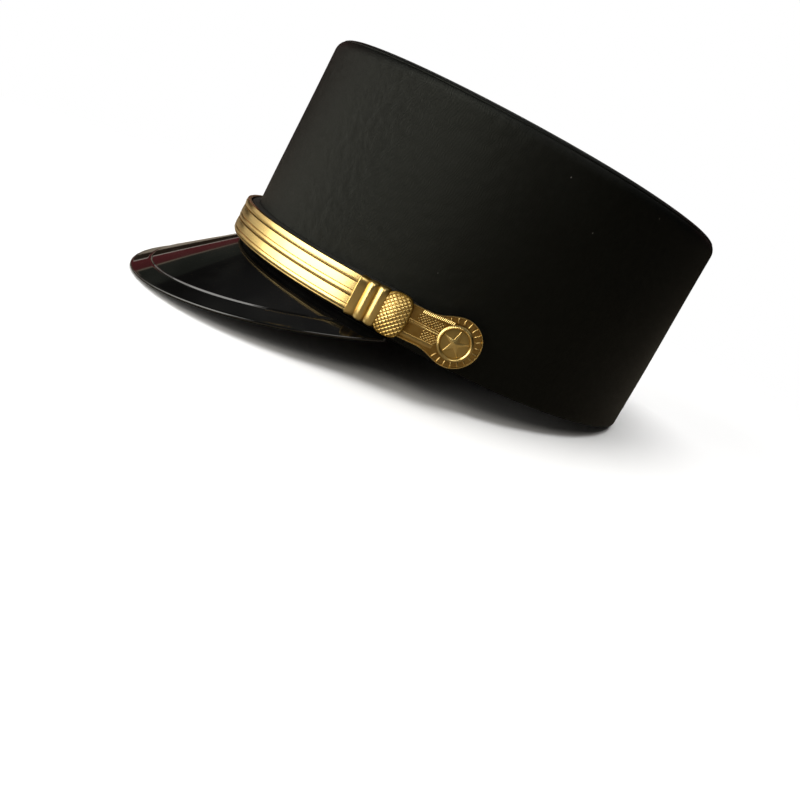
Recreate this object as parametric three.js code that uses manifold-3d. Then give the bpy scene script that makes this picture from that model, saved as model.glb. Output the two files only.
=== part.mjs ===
// A stiff round doorman cap with a glossy visor and a gold chin strap, standing on a flat surface.
// Each piece is built in the cap's own frame: the open rim lies in the plane z = 0, the visor points
// along -Y, the wearer's left is +X and the crown rises along +Z. The last lines tip the cap onto the
// visor's front edge and the back of the rim, as it stands by itself. All sizes are millimetres.

import * as THREE from 'three';
import { mergeVertices } from 'three/addons/utils/BufferGeometryUtils.js';
import Module from 'manifold-3d';

// Crown
const crownHalfLength = 102;
const crownHalfWidth = 88;
const crownHeight = 93;
const crownWall = 2;
const topEdgeRadius = 6;
const ovalPower = 1.9;
const backFullness = 0.022;
const crownTaper = 0.031;
const seamAngle = Math.PI / 4;
const seatGap = 0.3;

// Visor
const visorHalfAngle = THREE.MathUtils.degToRad(57.3);
const visorLength = 49.6;
const visorSlope = THREE.MathUtils.degToRad(37);
const visorSlopeEase = THREE.MathUtils.degToRad(-6);
const visorFullness = 0.86;
const visorFan = 0.394;
const visorSpan = 0.985;
const visorWall = 1.2;
const visorFlange = 1.8;

// Gold strap and its black backing
const strapCentre = 8.2;
const strapHalfHeight = 7.5;
const strapEnd = 91.9;
const strapBack = 3.7;
const grooveHeight = 4.8;
const ribRise = 0.8;
const ribs = [
  { from: -6.1, to: -0.8 },
  { from: -0.8, to: 4.6 },
  { from: 4.6, to: 7.5 },
];
const buttonRise = 3.05;
const risePower = 2.4;
const backingHalfHeight = 8.3;
const backingEndHalfHeight = 6.4;
const backingOffset = 0.3;
const backingFace = 3.4;

// Slider
const sliderStart = 78.6;
const ridgePitch = 4;
const ridgeCount = 3;
const ridgeBase = 6.5;
const ridgeTop = 8;
const ridgeShare = 0.96;
const sliderHalfHeight = 8.1;
const sliderEdgeDrop = 0.9;
const sliderFaceDrop = 0.25;
const knurlGap = 0.1;
const knurlHalfHeight = 8.6;
const knurlMiddle = 95.2;
const knurlHalfLength = 5.9;
const knurlPower = 3;
const knurlEdge = 6.6;
const knurlCrown = 7.6;
const channelHalfHeight = 7.8;
const channelTop = 5.9;

// End tab and button
const tabStart = 92.3;
const tabFace = 5;
const tabEdge = 0.6;
const tongueHalfHeight = 6.9;
const flareStart = 107.5;
const lobeRadius = 10;
const buttonPlace = 119.4;
const buttonRadius = 7;
const buttonRimWidth = 1.1;
const buttonField = 1.1;
const buttonRim = 1.9;
const buttonWallDrop = 0.5;
const starRadius = 5.5;
const starInnerRadius = 2.3;
const starRise = 0.9;
const starSink = 0.3;

const wasm = await Module();
wasm.setup();

/** Point of the crown's outer outline at turn t (0 front, 90 degrees left) and height z. */
function outlinePoint(t, z) {
  const scale = 1 - (crownTaper * Math.min(Math.max(z, 0), crownHeight - topEdgeRadius)) / crownHeight;
  const bend = (value) => Math.sign(value) * Math.abs(value) ** (2 / ovalPower);
  const front = -bend(Math.cos(t));
  const side = bend(Math.sin(t)) * (1 + backFullness * front);
  return new THREE.Vector2(crownHalfWidth * scale * side, crownHalfLength * scale * front);
}

/** Level direction that points away from the crown at turn t. */
function outwardAt(t) {
  const step = 1e-3;
  const along = outlinePoint(t + step, 0).sub(outlinePoint(t - step, 0));
  return new THREE.Vector2(along.y, -along.x).normalize();
}

/** Point that lies "out" millimetres off the crown's outer face, at turn t and height z. */
function crownPoint(t, z, out) {
  const flat = outlinePoint(t, z).addScaledVector(outwardAt(t), out);
  return new THREE.Vector3(flat.x, flat.y, z);
}

/** Turn at which the crown's outline has run the given distance from the front centre. */
function turnAtDistance(distance) {
  const step = 1e-3;
  let turn = 0;
  let run = 0;
  let last = outlinePoint(0, strapCentre);
  while (run < Math.abs(distance)) {
    turn += step;
    const next = outlinePoint(turn, strapCentre);
    run += next.distanceTo(last);
    last = next;
  }
  return Math.sign(distance) * turn;
}

/** Height of the trim's centre line, which rises toward the buttons. */
function trimCentre(distance) {
  return strapCentre + buttonRise * (Math.abs(distance) / buttonPlace) ** risePower;
}

/** Point of the trim, from its place along the strap, height off its centre line and depth. */
function trimPoint(distance, up, out) {
  return crownPoint(turnAtDistance(distance), trimCentre(distance) + up, out);
}

/** Evenly spaced values from first to last, both included. */
function spread(first, last, count) {
  return Array.from({ length: count + 1 }, (_, i) => first + ((last - first) * i) / count);
}

/** Triangles that close a loop whose first half faces its second half, point for point. */
function stripCap(size) {
  const steps = Array.from({ length: size / 2 - 1 }, (_, i) => i);
  return steps.flatMap((i) => [
    [i, i + 1, size - 2 - i],
    [i, size - 2 - i, size - 1 - i],
  ]);
}

/**
 * Closed body swept through a list of loops with the same number of points. A ring joins its last
 * loop to the first, and an open sweep is closed by the given triangles of its loop's points.
 */
function sweep(loops, cap = null) {
  const size = loops[0].length;
  const positions = loops.flat().flatMap((point) => point.toArray());
  const triangles = [];
  const rows = cap ? loops.length - 1 : loops.length;
  for (let row = 0; row < rows; row += 1) {
    for (let i = 0; i < size; i += 1) {
      const a = row * size + i;
      const b = row * size + ((i + 1) % size);
      const c = ((row + 1) % loops.length) * size + ((i + 1) % size);
      const d = ((row + 1) % loops.length) * size + i;
      triangles.push(a, b, c, a, c, d);
    }
  }
  if (cap) {
    const last = (loops.length - 1) * size;
    for (const [a, b, c] of cap) {
      triangles.push(c, b, a, last + a, last + b, last + c);
    }
  }
  return facingOut(positions, triangles);
}

/** Geometry whose triangles are turned around if they enclose a negative volume. */
function facingOut(positions, triangles) {
  const corner = (index) => new THREE.Vector3().fromArray(positions, 3 * index);
  let volume = 0;
  for (let i = 0; i < triangles.length; i += 3) {
    const [a, b, c] = [corner(triangles[i]), corner(triangles[i + 1]), corner(triangles[i + 2])];
    volume += a.dot(b.cross(c));
  }
  const geometry = new THREE.BufferGeometry();
  geometry.setAttribute('position', new THREE.Float32BufferAttribute(positions, 3));
  geometry.setIndex(volume < 0 ? triangles.toReversed() : triangles);
  return geometry;
}

/** Solid for joining and cutting, made from a closed geometry. */
function toSolid(geometry) {
  const bare = new THREE.BufferGeometry();
  bare.setAttribute('position', geometry.getAttribute('position'));
  bare.setIndex(geometry.index);
  const merged = mergeVertices(bare, 1e-4);
  return new wasm.Manifold(new wasm.Mesh({
    numProp: 3,
    vertProperties: new Float32Array(merged.getAttribute('position').array),
    triVerts: new Uint32Array(merged.index.array),
  }));
}

/** Geometry of a joined or cut solid. */
function toGeometry(solid) {
  const mesh = solid.getMesh();
  const geometry = new THREE.BufferGeometry();
  geometry.setAttribute('position', new THREE.BufferAttribute(mesh.vertProperties, 3));
  geometry.setIndex(new THREE.BufferAttribute(mesh.triVerts, 1));
  return geometry;
}

/** Named mesh with its own material. */
function piece(name, geometry, { color, roughness, metalness = 0 }) {
  const mesh = new THREE.Mesh(geometry, new THREE.MeshStandardMaterial({ color, roughness, metalness }));
  mesh.name = name;
  return mesh;
}

const cloth = { color: 0x15160f, roughness: 0.85 };
const patent = { color: 0x060505, roughness: 0.12 };
const band = { color: 0x0b0a09, roughness: 0.6 };
const gold = { color: 0xc79a3e, roughness: 0.25, metalness: 1 };
const satinGold = { color: 0xb58a3c, roughness: 0.4, metalness: 1 };
const oldGold = { color: 0x9c7433, roughness: 0.35, metalness: 1 };

/** Arc of the rounded top edge as [inset, height] rows, at the given radius from its centre. */
function topEdgeArc(radius, from, to) {
  const steps = 3;
  return spread(from, to, steps).map((angle) => [
    topEdgeRadius - radius * Math.cos(angle),
    crownHeight - topEdgeRadius + radius * Math.sin(angle),
  ]);
}

/** Side wall: from the open rim up to the seam, half way round the top edge. */
function crownSide() {
  const inner = topEdgeRadius - crownWall;
  const gapAngle = seatGap / 2 / topEdgeRadius;
  const profile = [
    [0, 0],
    ...topEdgeArc(topEdgeRadius, 0, seamAngle - gapAngle),
    ...topEdgeArc(inner, 0, seamAngle - gapAngle).reverse(),
    [crownWall, 0],
  ];
  const turns = spread(0, 2 * Math.PI, 72).slice(0, -1);
  return sweep(turns.map((t) => profile.map(([inset, z]) => crownPoint(t, z, -inset))));
}

/** Top panel: a flat lid whose edge rolls down to the seam. */
function crownTop() {
  const count = 72;
  const inner = topEdgeRadius - crownWall;
  const gapAngle = seatGap / 2 / inner;
  const rings = [
    ...topEdgeArc(topEdgeRadius, seamAngle + gapAngle, Math.PI / 2).reverse(),
    ...topEdgeArc(inner, seamAngle + gapAngle, Math.PI / 2),
  ];
  const turns = spread(0, 2 * Math.PI, count).slice(0, -1);
  const points = rings.flatMap(([inset, z]) => turns.map((t) => crownPoint(t, z, -inset)));
  const triangles = [];
  for (let ring = 0; ring < rings.length - 1; ring += 1) {
    for (let i = 0; i < count; i += 1) {
      const next = (i + 1) % count;
      const a = ring * count + i;
      const b = ring * count + next;
      triangles.push(a, b + count, b, a, a + count, b + count);
    }
  }
  const top = points.push(new THREE.Vector3(0, 0, crownHeight)) - 1;
  const under = points.push(new THREE.Vector3(0, 0, crownHeight - crownWall)) - 1;
  const lastRing = (rings.length - 1) * count;
  for (let i = 0; i < count; i += 1) {
    const next = (i + 1) % count;
    triangles.push(top, i, next, under, lastRing + next, lastRing + i);
  }
  return facingOut(points.flatMap((point) => point.toArray()), triangles);
}

/** Point of the visor: side runs -1 to 1 across it, reach 0 at the rim to 1 at its edge. */
function visorPoint(side, reach, depth) {
  const angle = visorHalfAngle * side;
  const t = Math.atan2(Math.sin(angle) * crownHalfLength, Math.cos(angle) * crownHalfWidth);
  const outward = outwardAt(t);
  const heading = Math.atan2(outward.x, -outward.y) * visorFan;
  const slope = visorSlope + visorSlopeEase * side ** 2;
  const length = visorLength * (1 - side ** 2) ** visorFullness;
  const along = new THREE.Vector3(
    Math.sin(heading) * Math.cos(slope),
    -Math.cos(heading) * Math.cos(slope),
    -Math.sin(slope),
  );
  const down = new THREE.Vector3(
    -Math.sin(heading) * Math.sin(slope),
    Math.cos(heading) * Math.sin(slope),
    -Math.cos(slope),
  );
  const root = crownPoint(t, 0, Math.min(reach, 0) * visorFlange).setZ(-seatGap);
  return root.addScaledVector(along, Math.max(reach, 0) * length).addScaledVector(down, depth);
}

/** Visor: a sloping crescent with a short flange under the front of the rim. */
function visor() {
  const reaches = [-1, ...spread(0, 1, 5)];
  const sides = spread(-1, 1, 48).map((side) => visorSpan * Math.sin((side * Math.PI) / 2));
  const loops = sides.map((side) => [
    ...reaches.map((reach) => visorPoint(side, reach, 0)),
    ...reaches.toReversed().map((reach) => visorPoint(side, reach, visorWall)),
  ]);
  return sweep(loops, stripCap(2 * reaches.length));
}

/** Half height of a band that ends in a round lobe, from its place along the strap. */
function lobeHalfHeight(distance, bandHalfHeight, radius, widenStart) {
  if (distance > buttonPlace) {
    return Math.sqrt(radius ** 2 - (distance - buttonPlace) ** 2);
  }
  const flare = THREE.MathUtils.smoothstep(distance, widenStart, buttonPlace);
  return bandHalfHeight + (radius - bandHalfHeight) * flare;
}

/** Places along a lobed band, closer together at its round end. */
function lobePlaces(start, radius) {
  const placePitch = 4.5;
  const lastAngle = 0.46 * Math.PI;
  const straight = spread(start, buttonPlace, Math.ceil((buttonPlace - start) / placePitch));
  const round = spread(0, lastAngle, 6).slice(1).map((angle) => buttonPlace + radius * Math.sin(angle));
  return [...straight, ...round];
}

/** Black backing: a flat band between the crown and the gold, round at both ends. */
function strapBacking() {
  const right = lobePlaces(0, backingEndHalfHeight).slice(1);
  const places = [...right.map((place) => -place).reverse(), 0, ...right];
  const loops = places.map((place) => {
    const half = lobeHalfHeight(Math.abs(place), backingHalfHeight, backingEndHalfHeight, strapEnd);
    const offset = backingOffset * Math.min(1, half / backingHalfHeight);
    return [
      trimPoint(place, offset - half, seatGap),
      trimPoint(place, offset + half, seatGap),
      trimPoint(place, offset + half, backingFace),
      trimPoint(place, offset - half, backingFace),
    ];
  });
  return sweep(loops, stripCap(4));
}

/** Gold strap: three rounded ribs with grooves between them and a thin lip along the bottom. */
function goldStrap() {
  const section = [
    new THREE.Vector2(strapBack, -strapHalfHeight),
    new THREE.Vector2(grooveHeight, -strapHalfHeight),
    new THREE.Vector2(grooveHeight, ribs[0].from),
  ];
  for (const { from, to } of ribs) {
    for (const share of spread(0, 1, 4).slice(1)) {
      const height = grooveHeight + ribRise * Math.sin(Math.PI * share);
      section.push(new THREE.Vector2(height, from + (to - from) * share));
    }
  }
  section.push(new THREE.Vector2(strapBack, strapHalfHeight));
  const places = spread(-strapEnd, strapEnd, 40);
  const loops = places.map((place) => section.map(({ x, y }) => trimPoint(place, y, x)));
  return sweep(loops, THREE.ShapeUtils.triangulateShape(section, []));
}

/** Slider: three rounded ridges and a domed end plate, cut through for the strap. */
function slider() {
  const ridgeEnd = sliderStart + ridgeCount * ridgePitch;
  const rows = [];
  for (let ridge = 0; ridge < ridgeCount; ridge += 1) {
    for (const share of spread((1 - ridgeShare) / 2, (1 + ridgeShare) / 2, 4)) {
      rows.push({
        place: sliderStart + (ridge + share) * ridgePitch,
        half: sliderHalfHeight,
        face: ridgeBase + (ridgeTop - ridgeBase) * Math.sin(Math.PI * share),
      });
    }
  }
  const startAngle = Math.asin((ridgeEnd + knurlGap - knurlMiddle) / knurlHalfLength);
  const endAngle = 0.47 * Math.PI;
  for (const angle of spread(startAngle, endAngle, 10)) {
    const share = Math.sin(angle);
    rows.push({
      place: knurlMiddle + knurlHalfLength * share,
      half: knurlHalfHeight * (1 - Math.abs(share) ** knurlPower) ** (1 / knurlPower),
      face: knurlEdge + (knurlCrown - knurlEdge) * (1 - share ** 2),
    });
  }
  const [roll, flat] = [0.9, 0.45];
  const loops = rows.map(({ place, half, face }) => [
    trimPoint(place, -half, strapBack),
    trimPoint(place, half, strapBack),
    trimPoint(place, half, face - sliderEdgeDrop),
    trimPoint(place, roll * half, face - sliderFaceDrop),
    trimPoint(place, flat * half, face),
    trimPoint(place, -flat * half, face),
    trimPoint(place, -roll * half, face - sliderFaceDrop),
    trimPoint(place, -half, face - sliderEdgeDrop),
  ]);
  const block = sweep(loops, stripCap(8));
  const channelRun = 2;
  const channelFloor = 1;
  const channelEnd = knurlMiddle + knurlHalfLength + channelRun;
  const channelLoops = spread(sliderStart - channelRun, channelEnd, 7).map((place) => [
    trimPoint(place, -channelHalfHeight, channelFloor),
    trimPoint(place, channelHalfHeight, channelFloor),
    trimPoint(place, channelHalfHeight, channelTop),
    trimPoint(place, -channelHalfHeight, channelTop),
  ]);
  return toGeometry(toSolid(block).subtract(toSolid(sweep(channelLoops, stripCap(4)))));
}

/** End tab: a tongue that flares into a round lobe under the button. */
function endTab() {
  const leastInnerShare = 0.6;
  const loops = lobePlaces(tabStart, lobeRadius).map((place) => {
    const half = lobeHalfHeight(place, tongueHalfHeight, lobeRadius, flareStart);
    const inner = Math.max(half - tabEdge, leastInnerShare * half);
    return [
      trimPoint(place, -half, strapBack),
      trimPoint(place, half, strapBack),
      trimPoint(place, half, tabFace - tabEdge),
      trimPoint(place, inner, tabFace),
      trimPoint(place, -inner, tabFace),
      trimPoint(place, -half, tabFace - tabEdge),
    ];
  });
  return sweep(loops, stripCap(6));
}

/** Button: a disc with a raised rim and a ridged five-pointed star, its back at z = 0. */
function button() {
  const disc = new THREE.LatheGeometry([
    new THREE.Vector2(0, 0),
    new THREE.Vector2(buttonRadius, 0),
    new THREE.Vector2(buttonRadius, buttonRim - buttonWallDrop),
    new THREE.Vector2(buttonRadius - buttonRimWidth / 2, buttonRim),
    new THREE.Vector2(buttonRadius - buttonRimWidth, buttonField),
    new THREE.Vector2(0, buttonField),
  ], 40).rotateX(Math.PI / 2);
  const root = buttonField - starSink;
  const rise = starRise / (buttonField + starRise - root);
  const points = [new THREE.Vector3(0, 0, buttonField + starRise), new THREE.Vector3(0, 0, root)];
  for (let i = 0; i < 10; i += 1) {
    const angle = Math.PI / 2 + (i * Math.PI) / 5;
    const radius = (i % 2 ? starInnerRadius : starRadius) / rise;
    points.push(new THREE.Vector3(radius * Math.cos(angle), radius * Math.sin(angle), root));
  }
  const triangles = [];
  for (let i = 0; i < 10; i += 1) {
    const next = (i + 1) % 10;
    triangles.push(0, 2 + i, 2 + next, 1, 2 + next, 2 + i);
  }
  const star = facingOut(points.flatMap((point) => point.toArray()), triangles);
  return toGeometry(toSolid(disc).add(toSolid(star)));
}

/** Frame of the button's seat on the left tab: its face normal is local +Z, the crown's top +Y. */
function buttonSeat() {
  const out = tabFace + seatGap;
  const seat = trimPoint(buttonPlace, 0, out);
  const along = trimPoint(buttonPlace + 1, 0, out).sub(trimPoint(buttonPlace - 1, 0, out));
  const up = trimPoint(buttonPlace, 1, out).sub(trimPoint(buttonPlace, -1, out));
  const normal = along.clone().cross(up).normalize();
  const right = up.clone().cross(normal).normalize();
  const frame = new THREE.Matrix4().makeBasis(right, normal.clone().cross(right), normal);
  return frame.setPosition(seat);
}

/** Copy of a geometry mirrored to the wearer's right, with its triangles turned around. */
function mirrored(geometry) {
  const positions = Array.from(geometry.getAttribute('position').array);
  for (let i = 0; i < positions.length; i += 3) {
    positions[i] *= -1;
  }
  return facingOut(positions, Array.from(geometry.index.array));
}

const leftSlider = slider();
const leftTab = endTab();
const leftButton = button().applyMatrix4(buttonSeat());

const cap = new THREE.Group();
cap.add(
  piece('crown_side', crownSide(), cloth),
  piece('crown_top', crownTop(), cloth),
  piece('visor', visor(), patent),
  piece('strap_backing', strapBacking(), band),
  piece('gold_strap', goldStrap(), gold),
  piece('slider_left', leftSlider, satinGold),
  piece('slider_right', mirrored(leftSlider), satinGold),
  piece('end_tab_left', leftTab, oldGold),
  piece('end_tab_right', mirrored(leftTab), oldGold),
  piece('button_left', leftButton, gold),
  piece('button_right', mirrored(leftButton), gold),
);

// Tip the cap so that the visor's front edge and the back of the rim stand on the same surface
const visorTip = visorPoint(0, 1, visorWall);
const restTilt = Math.atan2(-visorTip.z, crownHalfLength - visorTip.y);
cap.rotation.x = -restTilt;

// Origin: under the middle of the cap's box, on the surface that it stands on
const box = new THREE.Box3().setFromObject(cap, true);
const middle = box.getCenter(new THREE.Vector3());
cap.position.set(-middle.x, -middle.y, -box.min.z);

const standingCap = new THREE.Group();
standingCap.add(cap);

export default standingCap;
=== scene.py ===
"""Doorman cap: a stiff black crown, a glossy visor and a gold strap with its sliders, tabs and buttons.

The gold trim is modelled flat, in millimetres along the strap, up it and out from the crown, and is then
wrapped round the crown. Everything ends in the row frame, in metres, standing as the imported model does.
"""

import logging
import math
from collections.abc import Callable, Iterable, Sequence
from dataclasses import dataclass, field
from enum import Enum

import bmesh
import bpy
import numpy as np
from mathutils import Matrix, Quaternion, Vector


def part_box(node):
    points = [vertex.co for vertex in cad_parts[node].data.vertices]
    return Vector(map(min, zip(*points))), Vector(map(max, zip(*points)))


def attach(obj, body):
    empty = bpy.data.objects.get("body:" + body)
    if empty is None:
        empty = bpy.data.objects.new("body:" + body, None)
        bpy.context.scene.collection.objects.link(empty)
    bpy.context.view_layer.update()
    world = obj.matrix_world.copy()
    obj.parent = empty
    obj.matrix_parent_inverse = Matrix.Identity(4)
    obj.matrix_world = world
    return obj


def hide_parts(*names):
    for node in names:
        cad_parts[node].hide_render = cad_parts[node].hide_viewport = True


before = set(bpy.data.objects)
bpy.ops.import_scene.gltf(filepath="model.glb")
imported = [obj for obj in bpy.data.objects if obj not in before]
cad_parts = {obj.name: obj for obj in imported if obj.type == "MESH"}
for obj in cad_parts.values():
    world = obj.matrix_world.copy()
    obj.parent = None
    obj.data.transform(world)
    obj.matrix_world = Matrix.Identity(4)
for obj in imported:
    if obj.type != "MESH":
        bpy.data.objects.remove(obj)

MM = 0.001
FULL_TURN = 2 * math.pi
RELIEF_ATTRIBUTE = "relief"
CLOTH_MAP = "Cloth"
MERGE_DISTANCE = 1e-4
CUT_TOLERANCE = 1e-5

log = logging.getLogger("cap")

BMesh = bmesh.types.BMesh
Socket = bpy.types.NodeSocket
Pair = tuple[float, float]
Triple = tuple[float, float, float]
Colour = tuple[float, float, float, float]
Inputs = dict[str | int, object]
Placer = Callable[[np.ndarray], np.ndarray]
Sheet = Callable[[np.ndarray, np.ndarray], np.ndarray]


class Side(Enum):
    """Side of the wearer, as the sign of x."""

    LEFT = 1
    RIGHT = -1

    @property
    def word(self) -> str:
        """The side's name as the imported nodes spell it."""
        return self.name.lower()


def columns(*values: np.ndarray) -> np.ndarray:
    """Stacks x, y and z into one row for each point."""
    return np.stack(np.broadcast_arrays(*values), axis=-1)


def smoothstep(value: np.ndarray, low: float, high: float) -> np.ndarray:
    """Rises smoothly from 0 at low to 1 at high.

    Args:
        value: the value to look up.
        low: where the rise starts.
        high: where it ends.

    Returns:
        The share from 0 to 1.
    """
    share = np.clip((value - low) / (high - low), 0, 1)
    return share * share * (3 - 2 * share)


@dataclass(frozen=True)
class CrownShape:
    """The stiff oval drum in its own frame: rim at z = 0, front along -Y, the wearer's left +X."""

    half_length: float = 102.0
    half_width: float = 88.0
    height: float = 93.0
    wall: float = 2.0
    edge_radius: float = 6.0
    oval_power: float = 1.9
    back_fullness: float = 0.022
    taper: float = 0.031
    seam_angle: float = math.radians(45)

    def outline(self, turn: np.ndarray, height: np.ndarray) -> tuple[np.ndarray, np.ndarray]:
        """Gives the oval's x and y at a turn from the front and a height.

        Args:
            turn: the turn from the front, in radians.
            height: the height above the rim.

        Returns:
            The outer face's x and y.
        """
        straight = np.clip(height, 0, self.height - self.edge_radius)
        scale = 1 - self.taper * straight / self.height
        front = -self.bend(np.cos(turn))
        side = self.bend(np.sin(turn)) * (1 + self.back_fullness * front)
        return self.half_width * scale * side, self.half_length * scale * front

    def bend(self, value: np.ndarray) -> np.ndarray:
        """Bends a circle's coordinate into the oval's."""
        return np.sign(value) * np.abs(value) ** (2 / self.oval_power)

    def outward(self, turn: np.ndarray) -> tuple[np.ndarray, np.ndarray]:
        """Gives the level direction that points away from the crown.

        Args:
            turn: the turn from the front, in radians.

        Returns:
            The direction's x and y.
        """
        step = 1e-3
        ahead = self.outline(turn + step, 0.0)
        behind = self.outline(turn - step, 0.0)
        run_x = ahead[0] - behind[0]
        run_y = ahead[1] - behind[1]
        length = np.hypot(run_x, run_y)
        return run_y / length, -run_x / length

    def point(self, turn: np.ndarray, height: np.ndarray, out: np.ndarray) -> np.ndarray:
        """Gives the point that lies out millimetres off the crown's outer face.

        Args:
            turn: the turn from the front, in radians.
            height: the height above the rim.
            out: the distance off the outer face, inwards with a minus.

        Returns:
            The points, one row each.
        """
        x, y = self.outline(turn, height)
        away_x, away_y = self.outward(turn)
        return columns(x + away_x * out, y + away_y * out, height)


@dataclass(frozen=True)
class VisorShape:
    """The sloping crescent under the front of the rim."""

    crown: CrownShape
    half_angle: float = math.radians(57.3)
    length: float = 49.6
    slope: float = math.radians(37)
    slope_ease: float = math.radians(-6)
    fullness: float = 0.86
    fan: float = 0.394
    wall: float = 1.2
    flange: float = 1.8
    span: float = 0.985
    gap: float = 0.3

    def turn(self, side: np.ndarray) -> np.ndarray:
        """Gives the turn on the crown at a place from -1 to 1 across the visor."""
        angle = self.half_angle * side
        return np.arctan2(np.sin(angle) * self.crown.half_length, np.cos(angle) * self.crown.half_width)

    def reach(self, side: np.ndarray) -> np.ndarray:
        """Gives the visor's length down its slope."""
        return self.length * np.maximum(1 - side**2, 0) ** self.fullness

    def point(self, side: np.ndarray, run: np.ndarray, depth: np.ndarray) -> np.ndarray:
        """Gives the point run millimetres down the slope from the rim and depth below the top face.

        Args:
            side: the place across the visor, from -1 to 1.
            run: the distance down the slope, with a minus on the flange.
            depth: the depth below the top face.

        Returns:
            The points, one row each.
        """
        turn = self.turn(side)
        away_x, away_y = self.crown.outward(turn)
        heading = np.arctan2(away_x, -away_y) * self.fan
        slope = self.slope + self.slope_ease * side**2
        root = self.crown.point(turn, 0.0, np.minimum(run, 0.0))
        run = np.maximum(run, 0.0)
        level = np.cos(slope) * run - np.sin(slope) * depth
        fall = np.sin(slope) * run + np.cos(slope) * depth
        return columns(
            root[..., 0] + np.sin(heading) * level,
            root[..., 1] - np.cos(heading) * level,
            -self.gap - fall,
        )


@dataclass(frozen=True)
class Stand:
    """Tips the cap onto the visor's front edge and the back of the rim, as it stands in the row frame."""

    tilt: float
    shift_y: float
    shift_z: float

    @classmethod
    def from_frame(cls, crown: CrownShape, visor: VisorShape) -> "Stand":
        """Works the tilt out from the two edges that touch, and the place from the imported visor's box.

        Args:
            crown: the drum, whose back rim touches the ground.
            visor: the visor, whose front edge touches it.

        Returns:
            The stand of the cap.
        """
        lower = visor.point(np.float64(0), np.float64(visor.length), np.float64(visor.wall))
        upper = visor.point(np.float64(0), np.float64(visor.length), np.float64(0))
        tilt = math.atan2(-lower[2], crown.half_length - lower[1])
        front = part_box("visor")[0].y / MM
        shift_y = front - (upper[1] * math.cos(tilt) + upper[2] * math.sin(tilt))
        shift_z = lower[1] * math.sin(tilt) - lower[2] * math.cos(tilt)
        return cls(tilt, shift_y, shift_z)

    def place(self, points: np.ndarray) -> np.ndarray:
        """Takes points from the cap's own frame to the row frame, from millimetres to metres.

        Args:
            points: the points, one row each.

        Returns:
            The points in metres.
        """
        x, y, z = points[..., 0], points[..., 1], points[..., 2]
        row_y = y * math.cos(self.tilt) + z * math.sin(self.tilt) + self.shift_y
        row_z = z * math.cos(self.tilt) - y * math.sin(self.tilt) + self.shift_z
        return columns(x, row_y, row_z) * MM


class TrimLine:
    """The line round the crown that the gold trim follows."""

    RISE = 3.05
    RISE_POWER = 2.4
    SAMPLES = 4001

    def __init__(self, crown: CrownShape, centre: float = 8.2, button_place: float = 119.4) -> None:
        """Measures the crown's outline from the front, so that places along it can be looked up.

        Args:
            crown: the drum that the trim lies on.
            centre: height of the line at the front, in millimetres.
            button_place: distance of the buttons from the front along the line.
        """
        self.crown = crown
        self.centre = centre
        self.button_place = button_place
        self.turns = np.linspace(0, math.pi, self.SAMPLES)
        x, y = crown.outline(self.turns, centre)
        steps = np.hypot(np.diff(x), np.diff(y))
        self.runs = np.concatenate([[0.0], np.cumsum(steps)])

    def wrap(self, flat: np.ndarray) -> np.ndarray:
        """Takes flat points (along, up, out) to the cap's own frame.

        Args:
            flat: the flat points, one row each.

        Returns:
            The points in the cap's own frame.
        """
        along, up, out = flat[..., 0], flat[..., 1], flat[..., 2]
        turn = np.sign(along) * np.interp(np.abs(along), self.runs, self.turns)
        height = self.centre + self.RISE * (np.abs(along) / self.button_place) ** self.RISE_POWER + up
        return self.crown.point(turn, height, out)

    def seat(self, out: float) -> Matrix:
        """Gives the frame of the left button's seat: local +Z points away from the crown, +Y up it.

        Args:
            out: the seat's distance off the crown.

        Returns:
            The seat's matrix.
        """
        probe = np.array([[0, 0], [1, 0], [-1, 0], [0, 1], [0, -1]], float)
        flat = columns(self.button_place + probe[:, 0], probe[:, 1], out)
        seat, ahead, behind, above, below = (Vector(p) for p in self.wrap(flat))
        up = above - below
        normal = (ahead - behind).cross(up).normalized()
        right = up.cross(normal).normalized()
        turned = Matrix((right, normal.cross(right), normal)).transposed().to_4x4()
        return Matrix.Translation(seat) @ turned


def grid_sheet(bm: BMesh, along: int, across: int, shape: Sheet, flip: bool) -> None:
    """Adds a grid and moves each vertex to the place that shape gives for its u and w, both -1 to 1.

    Args:
        bm: the mesh to add to.
        along: the grid's faces along u.
        across: its faces along w.
        shape: gives the places for u and w.
        flip: whether the faces are turned over.
    """
    made = bmesh.ops.create_grid(bm, x_segments=along, y_segments=across, size=1.0)["verts"]
    parameters = np.array([vert.co[:2] for vert in made])
    for vert, place in zip(made, shape(parameters[:, 0], parameters[:, 1])):
        vert.co = place
    if flip:
        faces = list(dict.fromkeys(face for vert in made for face in vert.link_faces))
        bmesh.ops.reverse_faces(bm, faces=faces)


def shell(along: int, across: int, front: Sheet, back: Sheet) -> BMesh:
    """Builds a closed body from a front and a back sheet whose rims are bridged.

    Args:
        along: each sheet's faces along u.
        across: each sheet's faces along w.
        front: gives the front sheet's places.
        back: gives the back sheet's places.

    Returns:
        The closed body.
    """
    bm = bmesh.new()
    grid_sheet(bm, along, across, front, flip=False)
    grid_sheet(bm, along, across, back, flip=True)
    rims = [edge for edge in bm.edges if edge.is_boundary]
    bmesh.ops.bridge_loops(bm, edges=rims)
    return bm


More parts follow.
